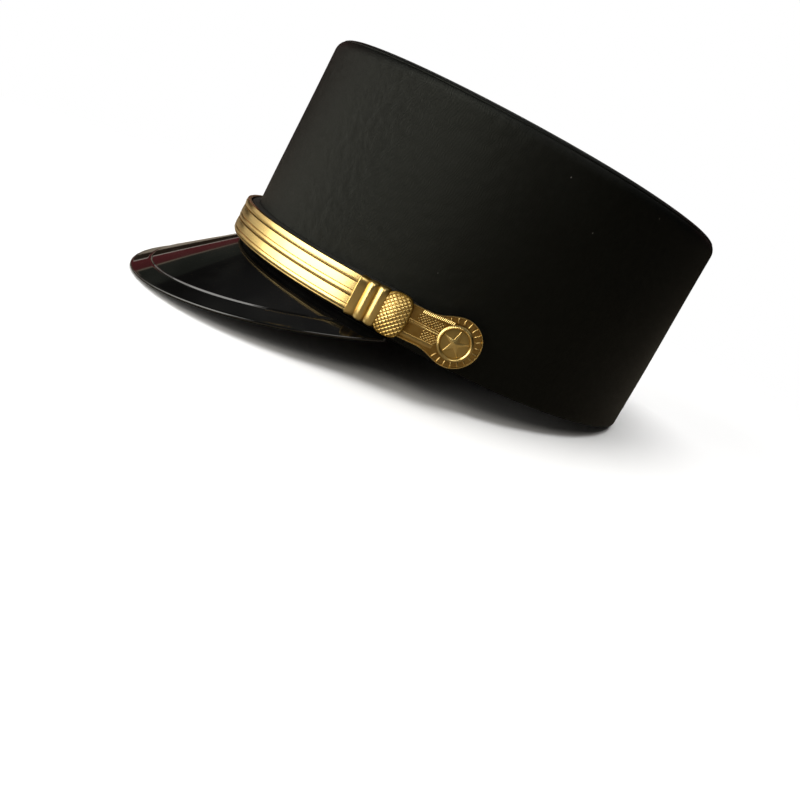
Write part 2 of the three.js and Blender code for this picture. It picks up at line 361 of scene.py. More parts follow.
def extruded(section: Sequence[Pair], start: float, end: float, steps: int) -> BMesh:
    """Draws a closed (up, out) section along x and closes both ends.

    Args:
        section: the section's points in order.
        start: where the body starts along x.
        end: where it ends.
        steps: the number of steps between.

    Returns:
        The closed body.
    """
    bm = bmesh.new()
    ring = bmesh.ops.create_circle(bm, segments=len(section), radius=1.0)["verts"]
    for vert, (up, out) in zip(ring, section):
        vert.co = (start, up, out)
    step = Vector(((end - start) / steps, 0, 0))
    bmesh.ops.spin(
        bm, geom=ring + bm.edges[:], cent=(0, 0, 0), axis=(1, 0, 0), dvec=step, angle=0.0, steps=steps,
        use_merge=False,
    )
    bmesh.ops.edgeloop_fill(bm, edges=[edge for edge in bm.edges if edge.is_boundary])
    return bm


def turned(profile: Sequence[Pair], steps: int, closed: bool) -> BMesh:
    """Turns a (radius, height) profile a full turn round the Z axis.

    Args:
        profile: the points of the profile, in order.
        steps: the number of sides.
        closed: whether the last point joins the first.

    Returns:
        The turned mesh, with its seam and its pole merged.
    """
    bm = bmesh.new()
    verts = [bm.verts.new((radius, 0, height)) for radius, height in profile]
    pairs = list(zip(verts, verts[1:] + verts[:1]))
    edges = [bm.edges.new(pair) for pair in (pairs if closed else pairs[:-1])]
    bmesh.ops.spin(
        bm, geom=verts + edges, cent=(0, 0, 0), axis=(0, 0, 1), dvec=(0, 0, 0), angle=FULL_TURN, steps=steps,
        use_merge=True,
    )
    bmesh.ops.remove_doubles(bm, verts=bm.verts, dist=MERGE_DISTANCE)
    return bm


def arc(centre: Pair, radius: float, start: float, end: float, steps: int) -> list[Pair]:
    """Gives the points of an arc, with angles in degrees."""
    angles = np.radians(np.linspace(start, end, steps + 1))
    return [(centre[0] + radius * math.cos(a), centre[1] + radius * math.sin(a)) for a in angles]


def plate(outline: Sequence[Pair], bottom: float, top: float) -> BMesh:
    """Raises a flat outline, given counter-clockwise, into a plate.

    Args:
        outline: the outline's points.
        bottom: height of the underside.
        top: height of the top face.

    Returns:
        The closed plate.
    """
    bm = bmesh.new()
    face = bm.faces.new([bm.verts.new((x, y, bottom)) for x, y in outline])
    made = bmesh.ops.extrude_face_region(bm, geom=[face])["geom"]
    raised = [item for item in made if isinstance(item, bmesh.types.BMVert)]
    bmesh.ops.translate(bm, verts=raised, vec=(0, 0, top - bottom))
    bmesh.ops.recalc_face_normals(bm, faces=bm.faces)
    return bm


def slice_across(bm: BMesh, axis: Vector, places: Iterable[float]) -> None:
    """Cuts edge loops across the mesh, so that it can follow a curve.

    Args:
        bm: the mesh to cut.
        axis: the direction that the cuts are square to.
        places: the cuts' places along it.
    """
    for place in places:
        geom = bm.verts[:] + bm.edges[:] + bm.faces[:]
        bmesh.ops.bisect_plane(bm, geom=geom, dist=CUT_TOLERANCE, plane_co=axis * place, plane_no=axis)


def keep_inside(bm: BMesh, outline: Sequence[Pair]) -> None:
    """Cuts away what lies outside a convex outline, given counter-clockwise.

    Args:
        bm: the mesh to cut.
        outline: the outline's points.
    """
    for (x0, y0), (x1, y1) in zip(outline, list(outline[1:]) + [outline[0]]):
        outward = Vector((y1 - y0, x0 - x1, 0))
        if outward.length < 1e-6:
            continue
        geom = bm.verts[:] + bm.edges[:] + bm.faces[:]
        bmesh.ops.bisect_plane(
            bm, geom=geom, dist=CUT_TOLERANCE, plane_co=(x0, y0, 0), plane_no=outward.normalized(),
            clear_outer=True,
        )


def close_below(bm: BMesh, bottom: float) -> None:
    """Draws the open rim straight down to one height and fills it.

    Args:
        bm: the mesh with the open rim.
        bottom: the height to close at.
    """
    rim = [edge for edge in bm.edges if edge.is_boundary]
    made = bmesh.ops.extrude_edge_only(bm, edges=rim)["geom"]
    for vert in made:
        if isinstance(vert, bmesh.types.BMVert):
            vert.co.z = bottom
    bmesh.ops.edgeloop_fill(bm, edges=[edge for edge in bm.edges if edge.is_boundary])
    bmesh.ops.recalc_face_normals(bm, faces=bm.faces)


def diamond_pad(
    outline: Sequence[Pair], pitch: float, inset: float, depth: float, base: float, bottom: float
) -> BMesh:
    """Builds a pad of diamonds that stand on a corner, cut to a convex outline.

    Args:
        outline: the pad's outline, counter-clockwise.
        pitch: the distance from one diamond to the next along a row.
        inset: how far each diamond's top lies inside its foot.
        depth: how high each top stands.
        base: height of the diamonds' feet.
        bottom: height of the pad's flat underside.

    Returns:
        The closed pad.
    """
    bm = bmesh.new()
    corners = np.array(outline)
    middle = (corners.min(axis=0) + corners.max(axis=0)) / 2
    reach = np.ptp(corners, axis=0).max()
    count = int(reach * math.sqrt(2) / pitch) + 2
    bmesh.ops.create_grid(bm, x_segments=count, y_segments=count, size=count * pitch / 2)
    bmesh.ops.rotate(bm, verts=bm.verts, cent=(0, 0, 0), matrix=Matrix.Rotation(math.radians(45), 3, "Z"))
    bmesh.ops.translate(bm, verts=bm.verts, vec=(middle[0], middle[1], base))
    bmesh.ops.inset_individual(bm, faces=bm.faces[:], thickness=inset, depth=depth)
    keep_inside(bm, outline)
    close_below(bm, bottom)
    return bm


def eased(bm: BMesh, edges: Iterable[bmesh.types.BMEdge], offset: float, segments: int) -> None:
    """Rounds edges over by an offset, in a number of segments."""
    bmesh.ops.bevel(bm, geom=list(edges), offset=offset, offset_type="OFFSET", segments=segments, profile=0.5,
                    affect="EDGES", clamp_overlap=True, material=-1)


def level_edges(bm: BMesh, height: float) -> list[bmesh.types.BMEdge]:
    """Gives the edges that lie at one height."""
    return [edge for edge in bm.edges if all(abs(vert.co.z - height) < CUT_TOLERANCE for vert in edge.verts)]


def joined(parts: Iterable[BMesh]) -> BMesh:
    """Puts several closed bodies into one mesh.

    Args:
        parts: the bodies, which are used up.

    Returns:
        The joined mesh.
    """
    bm = bmesh.new()
    for part in parts:
        mesh = bpy.data.meshes.new("part")
        part.to_mesh(mesh)
        part.free()
        bm.from_mesh(mesh)
        bpy.data.meshes.remove(mesh)
    return bm


def bead(place: Triple, size: Triple, turn: float) -> BMesh:
    """Builds one small rounded bead, turned in the flat plane by an angle in radians.

    Args:
        place: the bead's middle.
        size: its half sizes.
        turn: its turn in the flat plane.

    Returns:
        The bead.
    """
    bm = bmesh.new()
    bmesh.ops.create_uvsphere(bm, u_segments=8, v_segments=6, radius=1.0)
    shape = Matrix.Rotation(turn, 4, "Z") @ Matrix.Diagonal((*size, 1.0))
    bmesh.ops.transform(bm, matrix=Matrix.Translation(place) @ shape, verts=bm.verts)
    return bm


def stroke(place: Triple, size: Triple, turn: float) -> BMesh:
    """Builds one short roof-shaped stroke on a low block, turned in the flat plane by an angle in radians.

    Args:
        place: the middle of the roof's foot.
        size: its half sizes.
        turn: its turn in the flat plane.

    Returns:
        The stroke.
    """
    roof_share = (0.28, 0.8, 1.0)
    block_depth = 2.0
    bm = bmesh.new()
    bmesh.ops.create_cube(bm, size=2.0)
    top = [vert for vert in bm.verts if vert.co.z > 0]
    bmesh.ops.scale(bm, vec=roof_share, verts=top)
    low = [vert for vert in bm.verts if vert.co.z < 0]
    bmesh.ops.translate(bm, vec=(0, 0, 1.0), verts=low)
    bottom = min(bm.faces, key=lambda face: face.calc_center_median().z)
    made = bmesh.ops.extrude_face_region(bm, geom=[bottom])["geom"]
    sunk = [item for item in made if isinstance(item, bmesh.types.BMVert)]
    bmesh.ops.translate(bm, vec=(0, 0, -block_depth), verts=sunk)
    bmesh.ops.delete(bm, geom=[bottom], context="FACES_ONLY")
    shape = Matrix.Rotation(turn, 4, "Z") @ Matrix.Diagonal((*size, 1.0))
    bmesh.ops.transform(bm, matrix=Matrix.Translation(place) @ shape, verts=bm.verts)
    return bm


@dataclass
class Graph:
    """Adds and links the nodes of one node tree."""

    tree: bpy.types.NodeTree

    def node(self, kind: str, inputs: Inputs | None = None, **settings: object) -> bpy.types.Node:
        """Adds a node, sets its settings and fills its inputs with values or with other nodes' sockets.

        Args:
            kind: the node's Blender type.
            inputs: a value or a socket for each input, by name or number.
            settings: the node's own settings by name.

        Returns:
            The node.
        """
        made = self.tree.nodes.new(kind)
        for name, value in settings.items():
            setattr(made, name, value)
        for name, value in (inputs or {}).items():
            if isinstance(value, Socket):
                self.tree.links.new(value, made.inputs[name])
            else:
                made.inputs[name].default_value = value
        return made

    def math(self, operation: str, *values: object, clamp: bool = False) -> Socket:
        """Adds a Math node and gives its result."""
        made = self.node("ShaderNodeMath", dict(enumerate(values)), operation=operation, use_clamp=clamp)
        return made.outputs[0]

    def noise(self, vector: Socket, scale: float, detail: float = 2.0) -> Socket:
        """Adds a noise texture and gives its value."""
        inputs = {"Vector": vector, "Scale": scale, "Detail": detail}
        return self.node("ShaderNodeTexNoise", inputs).outputs["Fac"]

    def remap(
        self, value: Socket, low: float, high: float, to_low: object, to_high: object
    ) -> Socket:
        """Maps a value from one range to another, held at both ends, and gives the result."""
        inputs = {"Value": value, "From Min": low, "From Max": high, "To Min": to_low, "To Max": to_high}
        return self.node("ShaderNodeMapRange", inputs, clamp=True).outputs["Result"]

    def mix(self, share: object, first: object, second: object) -> Socket:
        """Mixes two colours and gives the result."""
        inputs = {"Factor": share, 6: first, 7: second}
        return self.node("ShaderNodeMix", inputs, data_type="RGBA").outputs[2]

    def bump(self, height: Socket, strength: float, distance: float) -> Socket:
        """Adds a Bump node and gives its normal."""
        inputs = {"Height": height, "Strength": strength, "Distance": distance}
        return self.node("ShaderNodeBump", inputs).outputs["Normal"]

    def feed(self, node: bpy.types.Node, sockets: dict[str, Socket]) -> None:
        """Links other nodes' sockets to a node's named inputs."""
        for name, socket in sockets.items():
            self.tree.links.new(socket, node.inputs[name])


def new_group(name: str, inputs: dict[str, str], outputs: dict[str, str]) -> tuple[bpy.types.NodeTree, Graph]:
    """Makes an empty shader node group with named sockets.

    Args:
        name: the group's name.
        inputs: the input sockets' types by name.
        outputs: the output sockets' types by name.

    Returns:
        The group's tree and its graph.
    """
    tree = bpy.data.node_groups.new(name, "ShaderNodeTree")
    for in_out, sockets in (("INPUT", inputs), ("OUTPUT", outputs)):
        for socket, kind in sockets.items():
            tree.interface.new_socket(name=socket, in_out=in_out, socket_type=kind)
    return tree, Graph(tree)


class Effects:
    """The node groups that several finishes share."""

    def __init__(self) -> None:
        """Builds each group once."""
        self.grain = self.build_grain()
        self.tarnish = self.build_tarnish()

    def place_grain(self, graph: Graph, fine: float, coarse: float) -> bpy.types.Node:
        """Places the grain group in a material, with the scales of its two noises.

        Args:
            graph: the material's graph.
            fine: the scale of the grain itself.
            coarse: the scale of its patches.

        Returns:
            The placed group.
        """
        node = graph.node("ShaderNodeGroup", node_tree=self.grain)
        node.inputs["Fine"].default_value = fine
        node.inputs["Coarse"].default_value = coarse
        return node

    @staticmethod
    def build_grain() -> bpy.types.NodeTree:
        """Builds a fine grain: a height that varies over the surface at two scales.

        Returns:
            The group.
        """
        tree, graph = new_group(
            "fine_grain",
            {"Fine": "NodeSocketFloat", "Coarse": "NodeSocketFloat"},
            {"Height": "NodeSocketFloat", "Patches": "NodeSocketFloat"},
        )
        given = graph.node("NodeGroupInput")
        place = graph.node("ShaderNodeTexCoord").outputs["Object"]
        inputs = {"Vector": place, "Scale": given.outputs["Fine"], "Detail": 3.0}
        fine = graph.node("ShaderNodeTexNoise", inputs)
        coarse = graph.node("ShaderNodeTexNoise", {"Vector": place, "Scale": given.outputs["Coarse"]})
        graph.node("NodeGroupOutput", {"Height": fine.outputs["Fac"], "Patches": coarse.outputs["Fac"]})
        return tree

    @staticmethod
    def build_tarnish() -> bpy.types.NodeTree:
        """Builds the way gold dulls: bright where it stands proud and is rubbed, brown in its hollows.

        Returns:
            The group.
        """
        tree, graph = new_group(
            "tarnish",
            {"Patches": "NodeSocketFloat", "Bright": "NodeSocketColor", "Dull": "NodeSocketColor",
             "Smooth": "NodeSocketFloat", "Rough": "NodeSocketFloat"},
            {"Colour": "NodeSocketColor", "Roughness": "NodeSocketFloat"},
        )
        given = graph.node("NodeGroupInput")
        relief = graph.node("ShaderNodeAttribute", attribute_name=RELIEF_ATTRIBUTE).outputs["Fac"]
        lowered = graph.math("SUBTRACT", relief, 0.25)
        patchy = graph.math("MULTIPLY_ADD", given.outputs["Patches"], 0.5, lowered)
        share = graph.remap(patchy, 0.0, 0.75, 0.0, 1.0)
        colour = graph.mix(share, given.outputs["Dull"], given.outputs["Bright"])
        roughness = graph.remap(share, 0.0, 1.0, given.outputs["Rough"], given.outputs["Smooth"])
        graph.node("NodeGroupOutput", {"Colour": colour, "Roughness": roughness})
        return tree


@dataclass(frozen=True)
class GoldFinish:
    """A gold-coloured metal finish, brighter on what stands proud."""

    name: str
    bright: Colour
    dull: Colour
    smooth: float
    rough: float
    grain: float
    grain_depth: float = 0.05
    fine_scale: float = 2600.0
    coarse_scale: float = 160.0

    def material(self, effects: Effects) -> bpy.types.Material:
        """Builds the material from the shared grain and tarnish.

        Args:
            effects: the shared node groups.

        Returns:
            The material.
        """
        material, graph, shader = new_material(self.name)
        grain = effects.place_grain(graph, self.fine_scale, self.coarse_scale)
        tarnish = self.tarnished(graph, grain, effects)
        shader.inputs["Metallic"].default_value = 1.0
        graph.feed(shader, {
            "Base Color": tarnish.outputs["Colour"],
            "Roughness": tarnish.outputs["Roughness"],
            "Normal": graph.bump(grain.outputs["Height"], self.grain, self.grain_depth * MM),
        })
        return material

    def tarnished(self, graph: Graph, grain: bpy.types.Node, effects: Effects) -> bpy.types.Node:
        """Places the tarnish group with this finish's own values.

        Args:
            graph: the material's graph.
            grain: the placed grain group.
            effects: the shared node groups.

        Returns:
            The placed group.
        """
        node = graph.node("ShaderNodeGroup", node_tree=effects.tarnish)
        graph.tree.links.new(grain.outputs["Patches"], node.inputs["Patches"])
        for socket, value in (("Bright", self.bright), ("Dull", self.dull),
                              ("Smooth", self.smooth), ("Rough", self.rough)):
            node.inputs[socket].default_value = value
        return node


def new_material(name: str) -> tuple[bpy.types.Material, Graph, bpy.types.Node]:
    """Makes a material with a Principled shader joined to its output.

    Args:
        name: the material's name.

    Returns:
        The material, its graph and its shader.
    """
    material = bpy.data.materials.new(name)
    material.use_nodes = True
    material.node_tree.nodes.clear()
    graph = Graph(material.node_tree)
    shader = graph.node("ShaderNodeBsdfPrincipled")
    graph.node("ShaderNodeOutputMaterial", {"Surface": shader.outputs["BSDF"]})
    return material, graph, shader


@dataclass(frozen=True)
class ClothFinish:
    """Black fine-woven cloth with a soft grey sheen and a few specks of lint."""

    name: str = "crown_cloth"
    dark: Colour = (0.0005, 0.0006, 0.0006, 1.0)
    light: Colour = (0.0022, 0.0025, 0.0023, 1.0)
    lint: Colour = (0.35, 0.34, 0.32, 1.0)
    gloss_tint: Colour = (0.96, 1.0, 0.86, 1.0)
    yarn_pitch: float = 0.62
    wander_scale: float = 0.22
    wander: float = 2.0
    streak_stretch: Triple = (0.35, 1.6, 1.0)
    streak_scale: float = 1.1
    fuzz_scale: float = 2.4
    cloud_scale: float = 0.035
    roughness: Pair = (0.34, 0.46)
    weave_strength: float = 0.6
    weave_depth: float = 0.14
    specular: float = 0.27
    lint_stretch: Triple = (1.0, 0.55, 1.0)
    lint_scale: float = 0.16
    lint_rarity: float = 0.8
    lint_radii: Pair = (0.012, 0.03)

    def material(self) -> bpy.types.Material:
        """Builds the twill on the cloth's own map, which is in millimetres.

        Returns:
            The material.
        """
        material, graph, shader = new_material(self.name)
        place = graph.node("ShaderNodeUVMap", uv_map=CLOTH_MAP).outputs["UV"]
        across = graph.node("ShaderNodeSeparateXYZ", {"Vector": place})
        wander = graph.math("MULTIPLY", graph.noise(place, self.wander_scale), self.wander)
        diagonal = graph.math("ADD", graph.math("ADD", across.outputs["X"], across.outputs["Y"]), wander)
        twill = graph.math("SINE", graph.math("MULTIPLY", diagonal, FULL_TURN / self.yarn_pitch))
        rows = graph.math("MULTIPLY", across.outputs["Y"], 2 * FULL_TURN / self.yarn_pitch)
        weft = graph.math("SINE", rows)
        streaks = graph.node("ShaderNodeVectorMath", {0: place, 1: self.streak_stretch}, operation="MULTIPLY")
        fuzz = graph.math("MULTIPLY_ADD", graph.noise(streaks.outputs[0], self.streak_scale, 3.0), 0.5,
                          graph.math("MULTIPLY", graph.noise(place, self.fuzz_scale, 4.0), 0.5))
        weave = graph.math("MULTIPLY_ADD", weft, 0.25, graph.math("MULTIPLY", twill, 0.5))
        height = graph.math("MULTIPLY_ADD", fuzz, 0.9, weave)
        clouds = graph.noise(place, self.cloud_scale, 3.0)
        share = graph.math("MULTIPLY_ADD", graph.remap(height, -0.4, 1.2, 0.0, 1.0), 0.55,
                           graph.remap(clouds, 0.3, 0.7, 0.0, 0.45))
        cloth = graph.mix(share, self.dark, self.light)
        colour = graph.mix(self.lint_mask(graph, place), cloth, self.lint)
        graph.feed(shader, {
            "Base Color": colour,
            "Roughness": graph.remap(fuzz, 0.35, 0.65, *self.roughness),
            "Normal": graph.bump(height, self.weave_strength, self.weave_depth * MM),
        })
        shader.inputs["Specular IOR Level"].default_value = self.specular
        shader.inputs["Specular Tint"].default_value = self.gloss_tint
        return material

    def lint_mask(self, graph: Graph, place: Socket) -> Socket:
        """Gives a mask of a few tiny specks, far apart.

        Args:
            graph: the material's graph.
            place: the cloth map's socket.

        Returns:
            The mask's socket.
        """
        bent = graph.node("ShaderNodeVectorMath", {0: place, 1: self.lint_stretch}, operation="MULTIPLY")
        inputs = {"Vector": bent.outputs[0], "Scale": self.lint_scale, "Randomness": 1.0}
        cells = graph.node("ShaderNodeTexVoronoi", inputs)
        draw = graph.node("ShaderNodeSeparateColor", {"Color": cells.outputs["Color"]}).outputs["Red"]
        chosen = graph.math("GREATER_THAN", draw, self.lint_rarity)
        near = graph.remap(cells.outputs["Distance"], *self.lint_radii, 1.0, 0.0)
        return graph.math("MULTIPLY", near, chosen)


@dataclass(frozen=True)
class PatentFinish:
    """Black patent: a glossy coat over a black base, with a slight wave in the gloss."""

    name: str = "visor_patent"
    base: Colour = (0.0022, 0.0021, 0.002, 1.0)
    worn: Colour = (0.006, 0.006, 0.0055, 1.0)
    fine_scale: float = 700.0
    coarse_scale: float = 42.0
    roughness: Pair = (0.06, 0.14)
    wave_strength: float = 0.12
    wave_depth: float = 0.6
    coat: float = 0.6
    coat_roughness: float = 0.03

    def material(self, effects: Effects) -> bpy.types.Material:
        """Builds the patent with faint rubbing and a gentle wave.

        Args:
            effects: the shared node groups.

        Returns:
            The material.
        """
        material, graph, shader = new_material(self.name)
        grain = effects.place_grain(graph, self.fine_scale, self.coarse_scale)
        rubbed = graph.remap(grain.outputs["Patches"], 0.45, 0.7, 0.0, 1.0)
        graph.feed(shader, {
            "Base Color": graph.mix(rubbed, self.base, self.worn),
            "Roughness": graph.remap(rubbed, 0.0, 1.0, *self.roughness),
            "Normal": graph.bump(grain.outputs["Patches"], self.wave_strength, self.wave_depth * MM),
        })
        shader.inputs["Coat Weight"].default_value = self.coat
        shader.inputs["Coat Roughness"].default_value = self.coat_roughness
        return material


@dataclass(frozen=True)
class BandFinish:
    """Black leathercloth of the band behind the gold."""

    name: str = "band_black"
    base: Colour = (0.011, 0.011, 0.0095, 1.0)
    worn: Colour = (0.018, 0.0175, 0.015, 1.0)
    fine_scale: float = 1500.0
    coarse_scale: float = 120.0
    roughness: Pair = (0.5, 0.7)
    grain_strength: float = 0.5
    grain_depth: float = 0.15
    specular: float = 0.25

    def material(self, effects: Effects) -> bpy.types.Material:
        """Builds the band's fine grain.

        Args:
            effects: the shared node groups.

        Returns:
            The material.
        """
        material, graph, shader = new_material(self.name)
        grain = effects.place_grain(graph, self.fine_scale, self.coarse_scale)
        worn = graph.remap(grain.outputs["Patches"], 0.5, 0.75, 0.0, 1.0)
        graph.feed(shader, {
            "Base Color": graph.mix(worn, self.base, self.worn),
            "Roughness": graph.remap(grain.outputs["Height"], 0.3, 0.7, *self.roughness),
            "Normal": graph.bump(grain.outputs["Height"], self.grain_strength, self.grain_depth * MM),
        })
        shader.inputs["Specular IOR Level"].default_value = self.specular
        return material


@dataclass
class Piece:
    """One visible piece, ready to be written into the scene."""

    name: str
    node: str
    slot: str
    bm: BMesh
    place: Placer
    material: bpy.types.Material
    relief: Pair | None = None
    crease: float = math.radians(40)
    mirrored: bool = False

    def write(self) -> bpy.types.Object:
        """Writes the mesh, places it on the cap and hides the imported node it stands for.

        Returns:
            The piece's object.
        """
        if self.mirrored:
            bmesh.ops.reverse_faces(self.bm, faces=self.bm.faces)
        mesh = bpy.data.meshes.new(self.name)
        self.bm.to_mesh(mesh)
        self.bm.free()
        flat = np.empty(3 * len(mesh.vertices))
        mesh.vertices.foreach_get("co", flat)
        flat = flat.reshape(-1, 3)
        if self.relief:
            low, high = self.relief
            attribute = mesh.attributes.new(RELIEF_ATTRIBUTE, "FLOAT", "POINT")
            attribute.data.foreach_set("value", np.clip((flat[:, 2] - low) / (high - low), 0, 1))
        mesh.vertices.foreach_set("co", self.place(flat).ravel())
        mesh.shade_smooth()
        mesh.set_sharp_from_angle(angle=self.crease)
        mesh.materials.append(self.material)
        mesh.update()
        piece = bpy.data.objects.new(self.name, mesh)
        bpy.context.scene.collection.objects.link(piece)
        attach(piece, "root")
        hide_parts(self.node)
        log.info("%s: %d vertices, %d faces", self.name, len(mesh.vertices), len(mesh.polygons))
        return piece


@dataclass(frozen=True)
class Ripple:
    """One faint wave in the cloth wall: its strength, its waves round the crown and its length up it."""

    strength: float
    laps: int
    phase: float
    length: float
    offset: float = 0.0

    def at(self, turn: np.ndarray, height: np.ndarray) -> np.ndarray:
        """Gives the wave at a turn and a height."""
        round_crown = self.strength * np.sin(self.laps * turn + self.phase)
        return round_crown * np.sin(height / self.length + self.offset)


@dataclass
class CrownPieces:
    """The cloth crown: its side wall and its top panel, sewn together round the top edge."""

    shape: CrownShape
    stand: Stand
    material: bpy.types.Material
    drum_radius: float = 110.0
    sides: int = 240
    rim_radius: float = 0.9
    seam_radius: float = 0.5
    seam_gap: float = 0.3
    seam_half_width: float = 0.9
    seam_depth: float = 0.45
    seam_reach: float = 6.0
    seam_cuts: int = 7
    wave: float = 0.16
    wave_start: float = 30.0
    ripples: tuple[Ripple, ...] = (Ripple(1.0, 3, 0.7, 27.0, 1.1), Ripple(0.5, 7, 2.0, 15.0))
    swell_lengths: Pair = (31.0, 37.0)
    swell_phases: Pair = (0.4, 1.0)
    lip_steps: int = 4
    rim_steps: int = 5
    outer_wall_steps: int = 25
    inner_wall_steps: int = 11
    outer_edge_steps: int = 5
    inner_edge_steps: int = 4
    top_rings: int = 14

    def build(self) -> None:
        """Builds both pieces."""
        self.build_side()
        self.build_top()

    def edge_point(self, radius: float, angle: float) -> Pair:
        """Gives the (drum radius, height) of a point of the rounded top edge, its angle in radians.

        Args:
            radius: the distance from the edge's centre.
            angle: 0 at the wall and a quarter turn at the flat top.

        Returns:
            The point.
        """
        shape = self.shape
        return (
            self.drum_radius - shape.edge_radius + radius * math.cos(angle),
            shape.height - shape.edge_radius + radius * math.sin(angle),
        )

    def rounded_lip(self, towards_top: bool) -> list[Pair]:
        """Gives the cloth's turned lip at the seam, from the outer face to the inner one.

        Args:
            towards_top: whether the lip is the top panel's.

        Returns:
            The lip's points.
        """
        shape = self.shape
        sign = 1 if towards_top else -1
        outer = shape.edge_radius
        inner = outer - shape.wall
        half_gap = self.seam_gap / 2
        points = []
        for share in np.linspace(0, 1, self.lip_steps + 1):
            drop = self.seam_radius * (1 - math.cos(share * math.pi / 2))
            ahead = self.seam_radius * (1 - math.sin(share * math.pi / 2))
            angle = shape.seam_angle + sign * (half_gap + ahead) / outer
            points.append(self.edge_point(outer - drop, angle))
        points.append(self.edge_point(inner, shape.seam_angle + sign * half_gap / inner))
        return points

    def build_side(self) -> None:
        """Builds the side wall, with its rounded rim and the pressed seam at the back."""
        shape = self.shape
        radius = self.drum_radius
        inner_edge = shape.edge_radius - shape.wall
        wall_top = shape.height - shape.edge_radius
        rim = self.rim_radius
        seam = shape.seam_angle
        lip_angle = seam - (self.seam_gap / 2 + self.seam_radius) / shape.edge_radius
        outer_rim = arc((radius - rim, rim), rim, -90, 0, self.rim_steps)
        outer_wall = [(radius, z) for z in np.linspace(rim, wall_top, self.outer_wall_steps + 1)[1:]]
        outer_angles = np.linspace(0, lip_angle, self.outer_edge_steps + 1)[1:-1]
        outer_arc = [self.edge_point(shape.edge_radius, angle) for angle in outer_angles]
        lip = self.rounded_lip(towards_top=False)
        inner_angles = np.linspace(seam, 0, self.inner_edge_steps + 1)[1:]
        inner_arc = [self.edge_point(inner_edge, angle) for angle in inner_angles]
        inner_heights = np.linspace(wall_top, rim, self.inner_wall_steps + 1)[1:]
        inner_wall = [(radius - shape.wall, z) for z in inner_heights]
        inner_rim = arc((radius - shape.wall + rim, rim), rim, 180, 270, self.rim_steps)[1:]
        profile = outer_rim + outer_wall + outer_arc + lip + inner_arc + inner_wall + inner_rim
        bm = turned(profile, self.sides, closed=True)
        self.cut_back_seam(bm)
        bmesh.ops.recalc_face_normals(bm, faces=bm.faces)
        piece = Piece("crown_cloth_side", "crown_side", "crown_cloth", bm, self.place_side, self.material)
        self.map_cloth(piece, self.side_map)

    def cut_back_seam(self, bm: BMesh) -> None:
        """Adds the edge loops that the pressed seam down the back needs.

        Args:
            bm: the side wall's mesh.
        """
        for place in np.linspace(-self.seam_half_width, self.seam_half_width, self.seam_cuts):
            middles = [(face, face.calc_center_median()) for face in bm.faces]
            faces = [face for face, middle in middles if middle.y > 0 and abs(middle.x) < self.seam_reach]
            edges = list(dict.fromkeys(edge for face in faces for edge in face.edges))
            verts = list(dict.fromkeys(vert for face in faces for vert in face.verts))
            bmesh.ops.bisect_plane(
                bm, geom=verts + edges + faces, dist=MERGE_DISTANCE, plane_co=(place, 0, 0),
                plane_no=(1, 0, 0),
            )

    def waves(self, turn: np.ndarray, height: np.ndarray) -> np.ndarray:
        """Gives the faint unevenness of a stiffened cloth wall, in millimetres.

        Args:
            turn: the turn from the front.
            height: the height above the rim.

        Returns:
            The distance off the smooth wall.
        """
        slow, quick = (ripple.at(turn, height) for ripple in self.ripples)
        return self.wave * (slow + quick) * smoothstep(height, 0, self.wave_start)

    def place_side(self, drum: np.ndarray) -> np.ndarray:
        """Takes the side's drum points to the row frame.

        Args:
            drum: the points on the round drum.

        Returns:
            The placed points.
        """
        turn = np.arctan2(drum[:, 0], -drum[:, 1])
        radius = np.hypot(drum[:, 0], drum[:, 1])
        height = drum[:, 2]
        behind = (drum[:, 1] > 0) & (np.abs(drum[:, 0]) < self.seam_half_width)
        groove = np.where(behind, np.cos(drum[:, 0] / self.seam_half_width * math.pi / 2) ** 2, 0)
        outer = radius > self.drum_radius - self.shape.wall / 2
        out = radius - self.drum_radius + self.waves(turn, height) - groove * self.seam_depth * outer
        return self.stand.place(self.shape.point(turn, height, out))

    def build_top(self) -> None:
        """Builds the flat top panel, whose edge rolls down to the seam."""
        shape = self.shape
        inner_edge = shape.edge_radius - shape.wall
        seam = shape.seam_angle
        lip_angle = seam + (self.seam_gap / 2 + self.seam_radius) / shape.edge_radius
        flat_radius = self.drum_radius - shape.edge_radius
        rings = flat_radius * np.linspace(0, 1, self.top_rings + 1)
        outer = [(r, shape.height) for r in rings]
        outer_angles = np.linspace(math.pi / 2, lip_angle, self.outer_edge_steps + 1)[1:-1]
        outer_arc = [self.edge_point(shape.edge_radius, angle) for angle in outer_angles]
        lip = self.rounded_lip(towards_top=True)
        inner_angles = np.linspace(seam, math.pi / 2, self.inner_edge_steps + 1)[1:]
        inner_arc = [self.edge_point(inner_edge, angle) for angle in inner_angles]
        inner = [(r, shape.height - shape.wall) for r in rings[::-1][1:]]
        bm = turned(outer + outer_arc + lip + inner_arc + inner, self.sides, closed=False)
        bmesh.ops.recalc_face_normals(bm, faces=bm.faces)
        piece = Piece("crown_cloth_top", "crown_top", "crown_cloth", bm, self.place_top, self.material)
        self.map_cloth(piece, self.top_map)

    def place_top(self, drum: np.ndarray) -> np.ndarray:
        """Takes the top's drum points to the row frame.

        Args:
            drum: the points on the round drum.

        Returns:
            The placed points.
        """
        turn = np.arctan2(drum[:, 0], -drum[:, 1])
        radius = np.hypot(drum[:, 0], drum[:, 1])
        flat_radius = self.drum_radius - self.shape.edge_radius
        on_flat = np.minimum(radius / flat_radius, 1)[:, None]
        out = np.maximum(radius, flat_radius) - self.drum_radius
        points = self.shape.point(turn, drum[:, 2], out)
        points[:, :2] *= on_flat
        swell_x, swell_y = np.sin(points[:, :2] / self.swell_lengths + self.swell_phases).T
        points[:, 2] += self.wave * swell_x * swell_y * (1 - on_flat[:, 0] ** 4)
        return self.stand.place(points)

